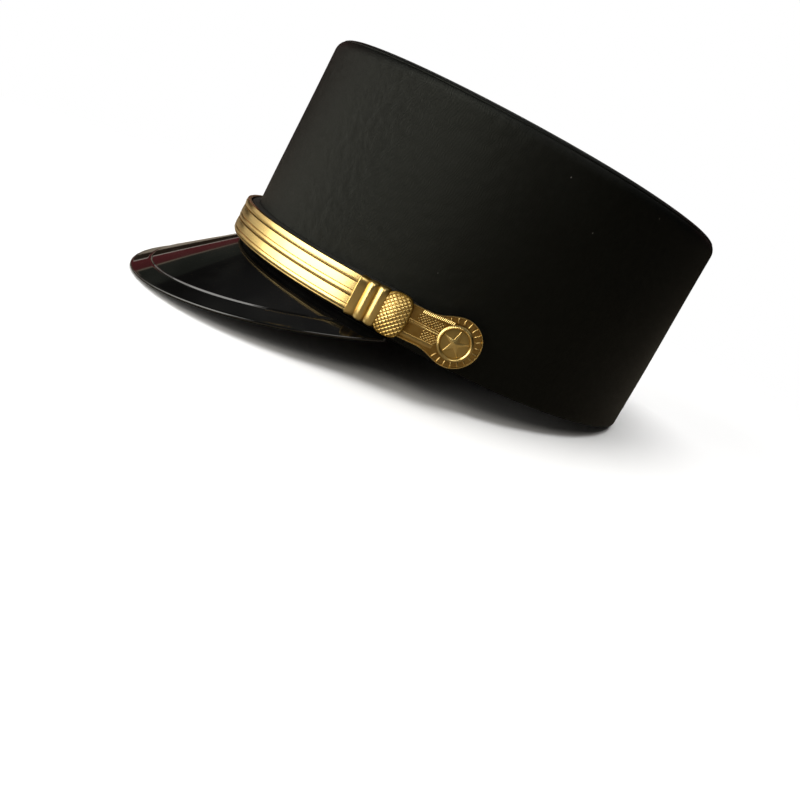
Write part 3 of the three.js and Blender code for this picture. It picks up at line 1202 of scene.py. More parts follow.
    def side_map(self, drum: np.ndarray) -> np.ndarray:
        """Gives the side's cloth coordinates in millimetres: round the crown and up it.

        Args:
            drum: the points on the round drum.

        Returns:
            The coordinates.
        """
        turn = np.arctan2(drum[:, 0], -drum[:, 1])
        mean_radius = (self.shape.half_length + self.shape.half_width) / 2
        return np.stack([turn * mean_radius, drum[:, 2]], axis=1)

    def top_map(self, drum: np.ndarray) -> np.ndarray:
        """Gives the top's cloth coordinates in millimetres, laid flat."""
        scale = self.shape.half_width / self.drum_radius
        return drum[:, :2] * (scale, scale * self.shape.half_length / self.shape.half_width)

    def map_cloth(self, piece: Piece, mapping: Callable[[np.ndarray], np.ndarray]) -> None:
        """Writes the piece with its cloth map, which has no smear where the turn starts again.

        Args:
            piece: the piece to write.
            mapping: gives the cloth coordinates of drum points.
        """
        bm = piece.bm
        drum = np.array([vert.co for vert in bm.verts])
        place = mapping(drum)
        lap = FULL_TURN * (self.shape.half_length + self.shape.half_width) / 2
        bm.verts.index_update()
        layer = bm.loops.layers.uv.new(CLOTH_MAP)
        for face in bm.faces:
            values = [place[vert.index] for vert in face.verts]
            start = values[0][0]
            for loop, value in zip(face.loops, values):
                jump = round((start - value[0]) / lap) * lap
                loop[layer].uv = (value[0] + jump, value[1])
        piece.write()


@dataclass
class VisorPiece:
    """The glossy visor, with a bead along its edge and a pressed line inside it."""

    shape: VisorShape
    stand: Stand
    material: bpy.types.Material
    across: int = 180
    down: int = 96
    bead_width: float = 1.3
    bead_height: float = 0.13
    line_inset: float = 8.8
    line_width: float = 1.5
    line_depth: float = 0.36
    band_drop: float = 0.18
    edge_share: float = 0.5
    corner_limit: float = 0.97
    line_fade: Pair = (1.15, 1.9)
    line_spread: float = 0.3
    band_blend: float = 0.8
    under_lift: float = 0.95
    marks: tuple[float, ...] = (0.0, 0.04, 0.36, 0.62, 0.84, 0.95, 1.0)

    def build(self) -> None:
        """Builds the visor from a top and an under sheet."""
        bm = shell(self.across, self.down, self.top_sheet, self.under_sheet)
        bmesh.ops.recalc_face_normals(bm, faces=bm.faces)
        Piece("visor_shell", "visor", "visor_patent", bm, self.stand.place, self.material,
              crease=math.radians(60)).write()

    def sides(self, u: np.ndarray) -> np.ndarray:
        """Gives the places across the visor, closer together at its corners."""
        return np.sin(u * math.pi / 2) * self.shape.span

    def edge_slant(self, side: np.ndarray) -> np.ndarray:
        """Gives how far the edge leans from square to the slope's own line, as its cosine.

        Args:
            side: the place across the visor.

        Returns:
            The cosine of the lean.
        """
        step = 1e-3
        here = np.clip(side, -self.corner_limit, self.corner_limit)
        ahead = self.shape.point(here + step, self.shape.reach(here + step), np.zeros_like(here))
        behind = self.shape.point(here - step, self.shape.reach(here - step), np.zeros_like(here))
        inner = self.shape.point(here, self.shape.reach(here) * 0.5, np.zeros_like(here))
        outer = self.shape.point(here, self.shape.reach(here), np.zeros_like(here))
        edge = (ahead - behind) / np.linalg.norm(ahead - behind, axis=1, keepdims=True)
        line = (outer - inner) / np.linalg.norm(outer - inner, axis=1, keepdims=True)
        return np.sqrt(np.clip(1 - np.sum(edge * line, axis=1) ** 2, 0.05, 1))

    def runs(self, side: np.ndarray, w: np.ndarray) -> tuple[np.ndarray, np.ndarray, np.ndarray]:
        """Spreads the rows down the visor: closer together at the pressed line and the edge.

        Args:
            side: the place across the visor.
            w: the row, from -1 at the flange to 1 at the edge.

        Returns:
            The run down the slope, the distance from the edge and the share of the line's full depth.
        """
        reach = self.shape.reach(side)
        slant = self.edge_slant(side)
        line = self.line_inset / slant
        full = smoothstep(reach / line, *self.line_fade)
        line = np.minimum(line, 0.6 * reach)
        share = (w + 1) / 2
        half = self.line_width / slant
        half = np.minimum(half, 0.3 * line)
        edge_zone = np.minimum(1.8 * self.bead_width / slant, 0.35 * line)
        stops = np.stack([
            np.full_like(reach, -self.shape.flange), np.zeros_like(reach),
            reach - line - half, reach - line + half,
            reach - edge_zone, reach - 0.3 * edge_zone, reach,
        ])
        run = np.empty_like(reach)
        for low, high, first, last in zip(self.marks, self.marks[1:], stops, stops[1:]):
            inside = (share >= low) & (share <= high)
            part = (share - low) / (high - low)
            run = np.where(inside, first + (last - first) * part, run)
        return run, (reach - run) * slant, full

    def top_sheet(self, u: np.ndarray, w: np.ndarray) -> np.ndarray:
        """Gives the top face: a bead at the edge, a lower band and the pressed line.

        Args:
            u: the place across the visor, before it is spread.
            w: the row, from the flange to the edge.

        Returns:
            The points.
        """
        side = self.sides(u)
        run, from_edge, full = self.runs(side, w)
        half_wall = self.edge_share * self.shape.wall
        drop = half_wall - np.sqrt(np.maximum(half_wall**2 - np.maximum(half_wall - from_edge, 0) ** 2, 0))
        bead = np.sin(np.clip(from_edge / self.bead_width, 0, 1) * math.pi) * self.bead_height
        off_line = (from_edge - self.line_inset) / (self.line_spread * self.line_width)
        line = np.exp(-(off_line**2)) * self.line_depth
        band = 1 - smoothstep(from_edge, self.line_inset - self.band_blend, self.line_inset + self.band_blend)
        depth = drop - bead * full + (line + band * self.band_drop) * full
        return self.shape.point(side, run, depth)

    def under_sheet(self, u: np.ndarray, w: np.ndarray) -> np.ndarray:
        """Gives the plain under face.

        Args:
            u: the place across the visor, before it is spread.
            w: the row, from the flange to the edge.

        Returns:
            The points.
        """
        side = self.sides(u)
        run, from_edge, _ = self.runs(side, w)
        half_wall = (1 - self.edge_share) * self.shape.wall
        lift = half_wall - np.sqrt(np.maximum(half_wall**2 - np.maximum(half_wall - from_edge, 0) ** 2, 0))
        return self.shape.point(side, run, self.shape.wall - self.under_lift * lift)


@dataclass(frozen=True)
class Rib:
    """One long face of the strap: its place across the strap, how proud it stands and how it is worked."""

    low: float
    high: float
    crest: float
    dome: float
    lean: float = 0.0
    milled: bool = False


@dataclass
class StrapPieces:
    """The gold strap across the front and the black band behind it."""

    trim: TrimLine
    stand: Stand
    gold: bpy.types.Material
    band: bpy.types.Material
    half_height: float = 7.5
    end: float = 91.9
    back: float = 3.7
    ribs: tuple[Rib, ...] = (
        Rib(-7.42, -6.72, 4.95, 0.08, -0.1),
        Rib(-6.32, -4.72, 5.5, 0.1, 0.04),
        Rib(-4.58, -1.4, 5.52, 0.05, 0.12, milled=True),
        Rib(-0.94, 0.88, 5.55, 0.1, 0.04),
        Rib(1.02, 4.38, 5.52, 0.05, 0.12, milled=True),
        Rib(4.78, 7.4, 5.55, 0.1, 0.05),
    )
    edge_radius: float = 0.16
    line_drop: float = 0.3
    groove_drop: float = 0.85
    milled_step: float = 0.3
    milled_depth: float = 0.045
    milled_margin: float = 0.2
    milled_reach: float = 0.35
    rib_edge_steps: int = 4
    rib_face_steps: int = 10
    groove_gap: float = 0.3
    groove_slant: float = 0.25
    strap_relief: Pair = (4.6, 5.3)
    band_half_height: float = 8.0
    band_end_half_height: float = 6.4
    band_offset: float = 0.2
    band_foot: float = 0.3
    band_face: float = 3.4
    band_taper: float = 12.0
    band_bevel: float = 2.4
    band_slice: float = 2.0

    def build(self) -> None:
        """Builds both pieces."""
        self.build_strap()
        self.build_band()

    def place(self, flat: np.ndarray) -> np.ndarray:
        """Wraps flat points round the crown and takes them to the row frame."""
        return self.stand.place(self.trim.wrap(flat))

    def rib_points(self, rib: Rib) -> list[Pair]:
        """Gives one rib's (up, out) points: a gently domed face with rounded edges.

        Args:
            rib: the rib.

        Returns:
            Its points, from low to high.
        """
        middle = (rib.low + rib.high) / 2
        half = (rib.high - rib.low) / 2
        radius = self.edge_radius
        edge = rib.crest - rib.dome
        points = arc((rib.low + radius, edge + rib.lean - radius), radius, 180, 90, self.rib_edge_steps)
        for share in np.linspace(-1, 1, self.rib_face_steps + 1)[1:-1]:
            up = middle + share * (half - radius)
            points.append((up, rib.crest - rib.dome * share**2 - rib.lean * share))
        last = arc((rib.high - radius, edge - rib.lean - radius), radius, 90, 0, self.rib_edge_steps)
        return points + last

    def between(self, lower: Rib, upper: Rib) -> list[Pair]:
        """Gives the bottom of the line or groove between two ribs.

        Args:
            lower: the rib below.
            upper: the rib above.

        Returns:
            Its two points.
        """
        gap = upper.low - lower.high
        drop = self.groove_drop if gap > self.groove_gap else self.line_drop
        level = min(lower.crest - lower.dome, upper.crest - upper.dome) - drop
        slant = self.groove_slant * gap
        return [(lower.high + slant, level), (upper.low - slant, level)]

    def build_strap(self) -> None:
        """Draws the ribbed section along the strap and mills the two wide faces."""
        section = [(-self.half_height, self.back)]
        for lower, upper in zip(self.ribs, self.ribs[1:]):
            section += self.rib_points(lower) + self.between(lower, upper)
        section += self.rib_points(self.ribs[-1])
        section.append((self.half_height, self.back))
        steps = round(2 * self.end / self.milled_step)
        bm = extruded(section, -self.end, self.end, steps)
        step = 2 * self.end / steps
        margin = self.milled_margin
        for vert in bm.verts:
            for rib in (rib for rib in self.ribs if rib.milled):
                inside = rib.low + margin < vert.co.y < rib.high - margin
                if inside and vert.co.z > rib.crest - self.milled_reach:
                    vert.co.z -= self.milled_depth * (round((vert.co.x + self.end) / step) % 2)
        bmesh.ops.recalc_face_normals(bm, faces=bm.faces)
        Piece("gold_strap_ribs", "gold_strap", "gold_polished", bm, self.place, self.gold, self.strap_relief,
              crease=math.radians(75)).write()

    def build_band(self) -> None:
        """Builds the black band: a long plate with round ends and eased edges."""
        end = self.trim.button_place
        radius = self.band_end_half_height
        low = self.band_offset - self.band_half_height
        high = self.band_offset + self.band_half_height
        round_start = self.end + self.band_taper
        right = [(self.end, low), (round_start, -radius)] + arc((end, 0), radius, -90, 90, 14)
        right += [(round_start, radius), (self.end, high)]
        outline = right + [(-x, y) for x, y in reversed(right)]
        bm = plate(outline, self.band_foot, self.band_face)
        eased(bm, level_edges(bm, self.band_face), self.band_bevel, 6)
        slice_across(bm, Vector((1, 0, 0)), np.arange(-end - radius + 1, end + radius, self.band_slice))
        bmesh.ops.recalc_face_normals(bm, faces=bm.faces)
        Piece("strap_band", "strap_backing", "band_black", bm, self.place, self.band,
              crease=math.radians(50)).write()


@dataclass(frozen=True)
class TabLine:
    """One raised line along the tab: its place up it, half width, rise, and the rise's share at its start."""

    up: float
    width: float
    rise: float
    start_share: float


@dataclass(frozen=True)
class Lattice:
    """One patch of small diamond studs on the tab."""

    left: float
    right: float
    low: float
    high: float


@dataclass
class SidePieces:
    """What holds the strap at one side: the slider, the end tab and the button."""

    side: Side
    trim: TrimLine
    stand: Stand
    satin: bpy.types.Material
    aged: bpy.types.Material
    strap_back: float = 3.7
    ridge_edges: tuple[float, ...] = (78.6, 82.3, 86.3, 90.6)
    ridge_powers: tuple[float, ...] = (1.4, 2.0, 2.0)
    ridge_peaks: tuple[float, ...] = (0.14, 0.56, 0.56)
    ridge_tops: tuple[float, ...] = (7.5, 7.95, 7.95)
    ridge_base: float = 6.6
    ridge_roll: float = 5.0
    ridge_tuck: float = 0.4
    slider_relief: Pair = (6.2, 7.2)
    slider_half_height: float = 8.1
    channel_half_height: float = 7.8
    channel_top: float = 5.9
    channel_roll: float = 30.0
    channel_inset: float = 0.25
    knurl_middle: float = 95.2
    knurl_half_length: float = 5.9
    knurl_half_height: float = 8.6
    knurl_power: float = 3.0
    knurl_pitch: float = 1.32
    knurl_inset: float = 0.46
    knurl_height: float = 0.26
    knurl_lip: float = 0.4
    knurl_lip_height: float = 6.2
    knurl_edge: float = 6.1
    knurl_crown: float = 7.1
    knurl_bevel: float = 0.3
    knurl_sink: float = 0.5
    knurl_overlap: float = 0.1
    tab_start: float = 92.3
    tab_face: float = 5.0
    tab_field: float = 4.5
    tongue_half_height: float = 6.9
    flare_start: float = 107.5
    lobe_radius: float = 10.0
    border: float = 0.3
    border_slope: float = 0.2
    rim_level: float = 4.8
    tab_slice: float = 1.6
    tab_rows: float = 4.0
    tab_lines_up: tuple[TabLine, ...] = (
        TabLine(1.15, 0.34, 0.34, 0.45),
        TabLine(0.3, 0.45, 0.5, 0.2),
        TabLine(-4.95, 0.95, 0.17, 1.0),
    )
    line_rise_span: Pair = (105.0, 109.0)
    line_sink: float = 0.2
    lattices: tuple[Lattice, ...] = (Lattice(103.6, 113.4, 1.75, 4.9), Lattice(107.3, 113.4, -3.75, -0.45))
    lattice_cell: float = 0.92
    stud_inset: float = 0.4
    stud_height: float = 0.25
    lattice_foot: float = 3.9
    rope_span: Pair = (104.6, 116.6)
    rope_pitch: float = 0.64
    rope_up: float = 6.0
    rope_level: float = 4.88
    rope_size: Triple = (0.2, 0.6, 0.12)
    rope_slant: float = -0.25
    rope_climb: float = 0.45
    rope_climb_span: Pair = (106.0, 115.0)
    flutes: int = 22
    flute_radius: float = 8.45
    flute_size: Triple = (1.45, 0.36, 0.33)
    flute_gap: float = math.radians(48)
    button_radius: float = 7.0
    rim_width: float = 1.35
    field_height: float = 1.1
    rim_height: float = 1.9
    star_radius: float = 5.6
    star_waist: float = 1.8
    star_edge: float = 0.34
    star_rise: float = 0.72
    star_sink: float = 0.3
    star_edge_bevel: float = 0.16
    star_ridge_bevel: float = 0.2
    field_dome: float = 0.12
    button_lift: float = 0.3
    button_relief: Pair = (0.75, 1.7)
    strands: int = 62
    strand_depth: float = 0.09
    strand_twist: float = 2.4
    crest_inset: float = 0.55
    rope_turn: float = math.radians(128)

    def build(self) -> None:
        """Builds the three pieces."""
        self.build_slider()
        self.build_tab()
        self.build_button()

    def place(self, flat: np.ndarray) -> np.ndarray:
        """Wraps flat points round this side of the crown and takes them to the row frame."""
        sided = flat * (self.side.value, 1, 1)
        return self.stand.place(self.trim.wrap(sided))

    def place_button(self, local: np.ndarray) -> np.ndarray:
        """Takes the button's own points to its seat on this side.

        Args:
            local: the points, with the seat at the origin.

        Returns:
            The placed points.
        """
        seat = np.array(self.trim.seat(self.tab_face + self.button_lift))
        points = local @ seat[:3, :3].T + seat[:3, 3]
        return self.stand.place(points * (self.side.value, 1, 1))

    def write(self, name: str, node: str, slot: str, bm: BMesh, material: bpy.types.Material,
              relief: Pair, place: Placer | None = None, crease: float = 40.0) -> None:
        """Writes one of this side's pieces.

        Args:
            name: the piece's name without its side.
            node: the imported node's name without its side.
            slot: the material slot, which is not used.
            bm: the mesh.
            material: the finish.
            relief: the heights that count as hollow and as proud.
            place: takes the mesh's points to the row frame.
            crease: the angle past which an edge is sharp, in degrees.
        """
        Piece(f"{name}_{self.side.word}", f"{node}_{self.side.word}", slot, bm, place or self.place, material,
              relief, math.radians(crease), mirrored=self.side is Side.RIGHT).write()

    def build_slider(self) -> None:
        """Builds the slider: three rounded ridges and the knurled end plate."""
        ridges = shell(96, 48, self.ridge_sheet, self.channel_sheet)
        bm = joined([ridges, self.knurl_plate(), self.knurl_pad()])
        bmesh.ops.recalc_face_normals(bm, faces=bm.faces)
        self.write("ridged_slider", "slider", "gold_satin", bm, self.satin, self.slider_relief)

    def knurl_dome(self, along: float, up: float) -> float:
        """Gives the height of the knurled face's domed ground.

        Args:
            along: the place along the strap.
            up: the place up it.

        Returns:
            The height.
        """
        x = (along - self.knurl_middle) / self.knurl_half_length
        y = up / self.knurl_half_height
        return self.knurl_edge + (self.knurl_crown - self.knurl_edge) * (1 - x * x) * (1 - y * y)

    def knurl_plate(self) -> BMesh:
        """Gives the end plate, whose rim shows as a lip round the knurling.

        Returns:
            The plate.
        """
        bm = plate(self.knurl_outline(0.0), self.strap_back, self.knurl_lip_height)
        eased(bm, level_edges(bm, self.knurl_lip_height), self.knurl_bevel, 3)
        return bm

    def knurl_pad(self) -> BMesh:
        """Gives the domed face of pointed diamonds.

        Returns:
            The pad.
        """
        outline = self.knurl_outline(self.knurl_lip)
        below = -2 * self.knurl_sink
        pad = diamond_pad(outline, self.knurl_pitch, self.knurl_inset, self.knurl_height, 0.0, below)
        for vert in pad.verts:
            if vert.co.z < -self.knurl_sink:
                vert.co.z = self.knurl_lip_height - self.knurl_sink
            else:
                vert.co.z += self.knurl_dome(vert.co.x, vert.co.y)
        return pad

    def knurl_outline(self, inset: float) -> list[Pair]:
        """Gives the end plate's rounded outline, which starts flat against the last ridge.

        Args:
            inset: how far it lies inside the plate's edge.

        Returns:
            The outline, counter-clockwise.
        """
        length = self.knurl_half_length - inset
        height = self.knurl_half_height - inset
        first = math.asin((self.ridge_edges[-1] - self.knurl_overlap - self.knurl_middle) / length)
        points = []
        for angle in np.linspace(first, math.pi / 2, 14):
            share = math.sin(angle)
            half = (1 - abs(share) ** self.knurl_power) ** (1 / self.knurl_power)
            points.append((self.knurl_middle + length * share, height * half))
        lower = [(x, -y) for x, y in points]
        return lower + points[-2::-1]

    def ridge_run(self, u: np.ndarray) -> tuple[np.ndarray, np.ndarray, np.ndarray]:
        """Gives, for a place along the ridges, its distance, its share of a ridge and the ridge's number.

        Args:
            u: the place, from -1 to 1.

        Returns:
            The distance along the strap, the share of the ridge and its number.
        """
        count = len(self.ridge_powers)
        run = (u + 1) / 2 * count
        ridge = np.clip(np.floor(run), 0, count - 1).astype(int)
        share = run - ridge
        edges = np.array(self.ridge_edges)
        return edges[ridge] + (edges[ridge + 1] - edges[ridge]) * share, share, ridge

    def ridge_sheet(self, u: np.ndarray, w: np.ndarray) -> np.ndarray:
        """Gives the ridges' outer face, which rolls over into the slider's cheeks.

        Args:
            u: the place along the ridges.
            w: the place across them.

        Returns:
            The points.
        """
        along, share, ridge = self.ridge_run(u)
        power = np.array(self.ridge_powers)[ridge]
        peak = np.array(self.ridge_peaks)[ridge]
        off_peak = np.where(share < peak, (peak - share) / peak, (share - peak) / (1 - peak))
        crest = 1 - off_peak**power
        face = self.ridge_base + (np.array(self.ridge_tops)[ridge] - self.ridge_base) * crest
        angle = w * math.pi / 2
        roll = 2 / self.ridge_roll
        half = self.slider_half_height - self.ridge_tuck * (1 - crest)
        up = np.sign(np.sin(angle)) * np.abs(np.sin(angle)) ** roll * half
        out = self.strap_back + (face - self.strap_back) * np.abs(np.cos(angle)) ** roll
        return columns(along, up, out)

    def channel_sheet(self, u: np.ndarray, w: np.ndarray) -> np.ndarray:
        """Gives the channel that the strap runs through.

        Args:
            u: the place along the ridges.
            w: the place across them.

        Returns:
            The points.
        """
        along = self.ridge_run(u)[0]
        angle = w * math.pi / 2
        power = 2 / self.channel_roll
        half = self.channel_half_height - self.channel_inset
        up = np.sign(np.sin(angle)) * np.abs(np.sin(angle)) ** power * half
        out = self.strap_back + (self.channel_top - self.strap_back) * np.abs(np.cos(angle)) ** power
        return columns(along, up, out)

    def tab_half_height(self, along: np.ndarray) -> np.ndarray:
        """Gives the tab's half height at a place along it."""
        flare = smoothstep(along, self.flare_start, self.trim.button_place)
        return self.tongue_half_height + (self.lobe_radius - self.tongue_half_height) * flare

    def tab_outline(self) -> list[Pair]:
        """Gives the tab's outline, counter-clockwise from its lower inner corner.

        Returns:
            The outline.
        """
        centre = self.trim.button_place
        places = np.concatenate([[self.tab_start], np.linspace(self.flare_start, centre, 14)[:-1]])
        halves = self.tab_half_height(places)
        lower = [(x, -half) for x, half in zip(places, halves)]
        upper = [(x, half) for x, half in zip(places[::-1], halves[::-1])]
        return lower + arc((centre, 0), self.lobe_radius, -90, 90, 36) + upper

    def build_tab(self) -> None:
        """Builds the moulded tab: a bordered plate with its lines, lattices, rope and flutes."""
        body = plate(self.tab_outline(), self.strap_back, self.rim_level)
        top = [face for face in body.faces if face.normal.z > 0.9]
        bmesh.ops.inset_region(body, faces=top, thickness=self.border, depth=0.0, use_even_offset=True)
        field = max((face for face in body.faces if face.normal.z > 0.9), key=lambda face: face.calc_area())
        bmesh.ops.inset_region(body, faces=[field], thickness=self.border_slope,
                               depth=self.tab_field - self.rim_level, use_even_offset=True)
        first = self.tab_start + self.tab_slice / 2
        tip = self.trim.button_place + self.lobe_radius
        slice_across(body, Vector((1, 0, 0)), np.arange(first, tip, self.tab_slice))
        slice_across(body, Vector((0, 1, 0)), self.tab_rows * np.arange(-2, 3))
        parts = [body] + self.tab_lines() + self.tab_lattices() + self.tab_rope() + self.tab_flutes()
        bm = joined(parts)
        bmesh.ops.recalc_face_normals(bm, faces=bm.faces)
        relief = (self.tab_field - 0.05, self.tab_face)
        self.write("moulded_tab", "end_tab", "gold_aged", bm, self.aged, relief)

    def tab_lines(self) -> list[BMesh]:
        """Gives the raised lines along the tongue: a double one in the middle and a broad one below.

        The middle ones rise towards the button.

        Returns:
            The lines.
        """
        end = self.trim.button_place - self.button_radius + 0.4
        low = self.tab_field - self.line_sink
        parts = []
        for line in self.tab_lines_up:
            left, right = line.up - line.width, line.up + line.width
            dome = [(line.up + line.width * x, self.tab_field + line.rise * y)
                    for x, y in arc((0, 0), 1.0, 180, 0, 8)]
            bm = extruded([(left, low), (right, low)] + dome[::-1], self.tab_start + 0.7, end, 16)
            for vert in bm.verts:
                risen = float(smoothstep(np.float64(vert.co.x), *self.line_rise_span))
                share = line.start_share + (1 - line.start_share) * risen
                if vert.co.z > self.tab_field:
                    vert.co.z = self.tab_field + (vert.co.z - self.tab_field) * share
            parts.append(bm)
        return parts

    def tab_lattices(self) -> list[BMesh]:
        """Gives the two patches of diamond studs beside the button, above and below the middle line.

        Returns:
            The patches.
        """
        parts = []
        for patch in self.lattices:
            outline = [(patch.left, patch.low), (patch.right, patch.low),
                       (patch.right, patch.high), (patch.left, patch.high)]
            parts.append(diamond_pad(outline, self.lattice_cell, self.stud_inset, self.stud_height,
                                     self.tab_field, self.lattice_foot))
        return parts

    def tab_rope(self) -> list[BMesh]:
        """Gives the rope that runs along the tongue's upper border to the button.

        Returns:
            The strokes.
        """
        parts = []
        for along in np.arange(*self.rope_span, self.rope_pitch):
            place = (along, self.rope_up + self.climb(along), self.rope_level)
            parts.append(stroke(place, self.rope_size, self.rope_slant))
        return parts

    def climb(self, along: float) -> float:
        """Gives how far the rope rises to meet the button's rim."""
        return self.rope_climb * float(smoothstep(np.float64(along), *self.rope_climb_span))

    def tab_flutes(self) -> list[BMesh]:
        """Gives the rays on the lobe's border, all round but where the tongue joins it.

        Returns:
            The rays.
        """
        parts = []
        for index in range(self.flutes):
            angle = (index + 0.5) / self.flutes * FULL_TURN
            if abs(angle - math.pi) < self.flute_gap:
                continue
            x = self.trim.button_place + self.flute_radius * math.cos(angle)
            y = self.flute_radius * math.sin(angle)
            parts.append(bead((x, y, self.tab_field), self.flute_size, angle))
        return parts

    def button_profile(self, outer: float, inner: float, crest: float) -> list[Pair]:
        """Gives the disc's (radius, height) points, from its back over the rounded rim to its middle.

        Args:
            outer: the disc's radius.
            inner: the radius where the rim ends and the field starts.
            crest: the radius of the rim's highest line.

        Returns:
            The profile, with the field slightly domed.
        """
        top = self.rim_height
        back = [(0.0, 0.0), (outer - 0.3, 0.0), (outer, 0.3)]
        outside = [(outer, top - 0.66), (outer - 0.1, top - 0.54), (crest + 0.4, top - 0.22)]
        ridge = [(crest + 0.14, top - 0.06), (crest, top), (crest - 0.14, top - 0.06)]
        inside = [(inner + 0.06, top - 0.42), (inner - 0.04, self.field_height - 0.1)]
        start = [(inner - 0.35, self.field_height)]
        field_rings = [(r, self.field_height + self.field_dome * (1 - (r / inner) ** 2))
                       for r in np.linspace(inner - 0.8, 0, 7)]
        return back + outside + ridge + inside + start + field_rings

    def build_button(self) -> None:
        """Builds the button: a disc with a roped rim, and a ridged five-pointed star."""
        outer = self.button_radius
        inner = outer - self.rim_width
        crest = inner + self.crest_inset
        disc = turned(self.button_profile(outer, inner, crest), self.strands * 4, closed=False)
        for vert in disc.verts:
            radius = math.hypot(vert.co.x, vert.co.y)
            if vert.co.z > self.rim_height - 0.5 and radius > inner:
                turn = math.atan2(vert.co.y, vert.co.x)
                roped = float(smoothstep(np.float64(math.cos(turn - self.rope_turn)), -0.1, 0.5))
                twist = turn * self.strands + (radius - crest) * self.strand_twist
                vert.co.z += self.strand_depth * roped * (math.cos(twist) - 0.3)
        bm = joined([disc, self.star()])
        bmesh.ops.recalc_face_normals(bm, faces=bm.faces)
        self.write("star_button", "button", "gold_satin", bm, self.satin, self.button_relief,
                   self.place_button, crease=28.0)

    def star(self) -> BMesh:
        """Gives the star: ten facets that rise to its middle, one point straight up.

        Returns:
            The star.
        """
        bm = bmesh.new()
        corners = 10
        bmesh.ops.create_circle(bm, segments=corners, radius=1.0, cap_ends=True)
        for vert in bm.verts:
            from_top = math.atan2(vert.co.y, vert.co.x) - math.pi / 2
            step = round(from_top / FULL_TURN * corners)
            vert.co *= self.star_radius if step % 2 == 0 else self.star_waist
            vert.co.z = self.field_height + self.star_edge
        outline = bm.edges[:]
        apex = bmesh.ops.poke(bm, faces=bm.faces[:])["verts"][0]
        apex.co.z = self.field_height + self.star_rise
        ridges = [edge for edge in bm.edges if edge not in outline]
        close_below(bm, self.field_height - self.star_sink)
        for edges, offset in ((outline, self.star_edge_bevel), (ridges, self.star_ridge_bevel)):
            eased(bm, [edge for edge in edges if edge.is_valid], offset, 3)
        return bm


@dataclass(frozen=True)
class Softbox:
    """A large soft light that points at the cap."""

    name: str
    place: Triple
    size: Pair
    power: float
    colour: Triple = (1.0, 1.0, 1.0)
    aim: Triple = (0.0, 0.0, 0.06)
    mirrored: bool = True

    def hang(self) -> None:
        """Adds the light to the scene."""
        light = bpy.data.lights.new(self.name, "AREA")
        light.shape = "RECTANGLE"
        light.size, light.size_y = self.size
        light.energy = self.power
        light.color = self.colour
        lamp = bpy.data.objects.new(self.name, light)
        lamp.location = self.place
        towards = Vector(self.aim) - Vector(self.place)
        lamp.rotation_mode = "QUATERNION"
        lamp.rotation_quaternion = towards.to_track_quat("-Z", "Y")
        lamp.visible_camera = False
        lamp.visible_glossy = self.mirrored
        bpy.context.scene.collection.objects.link(lamp)


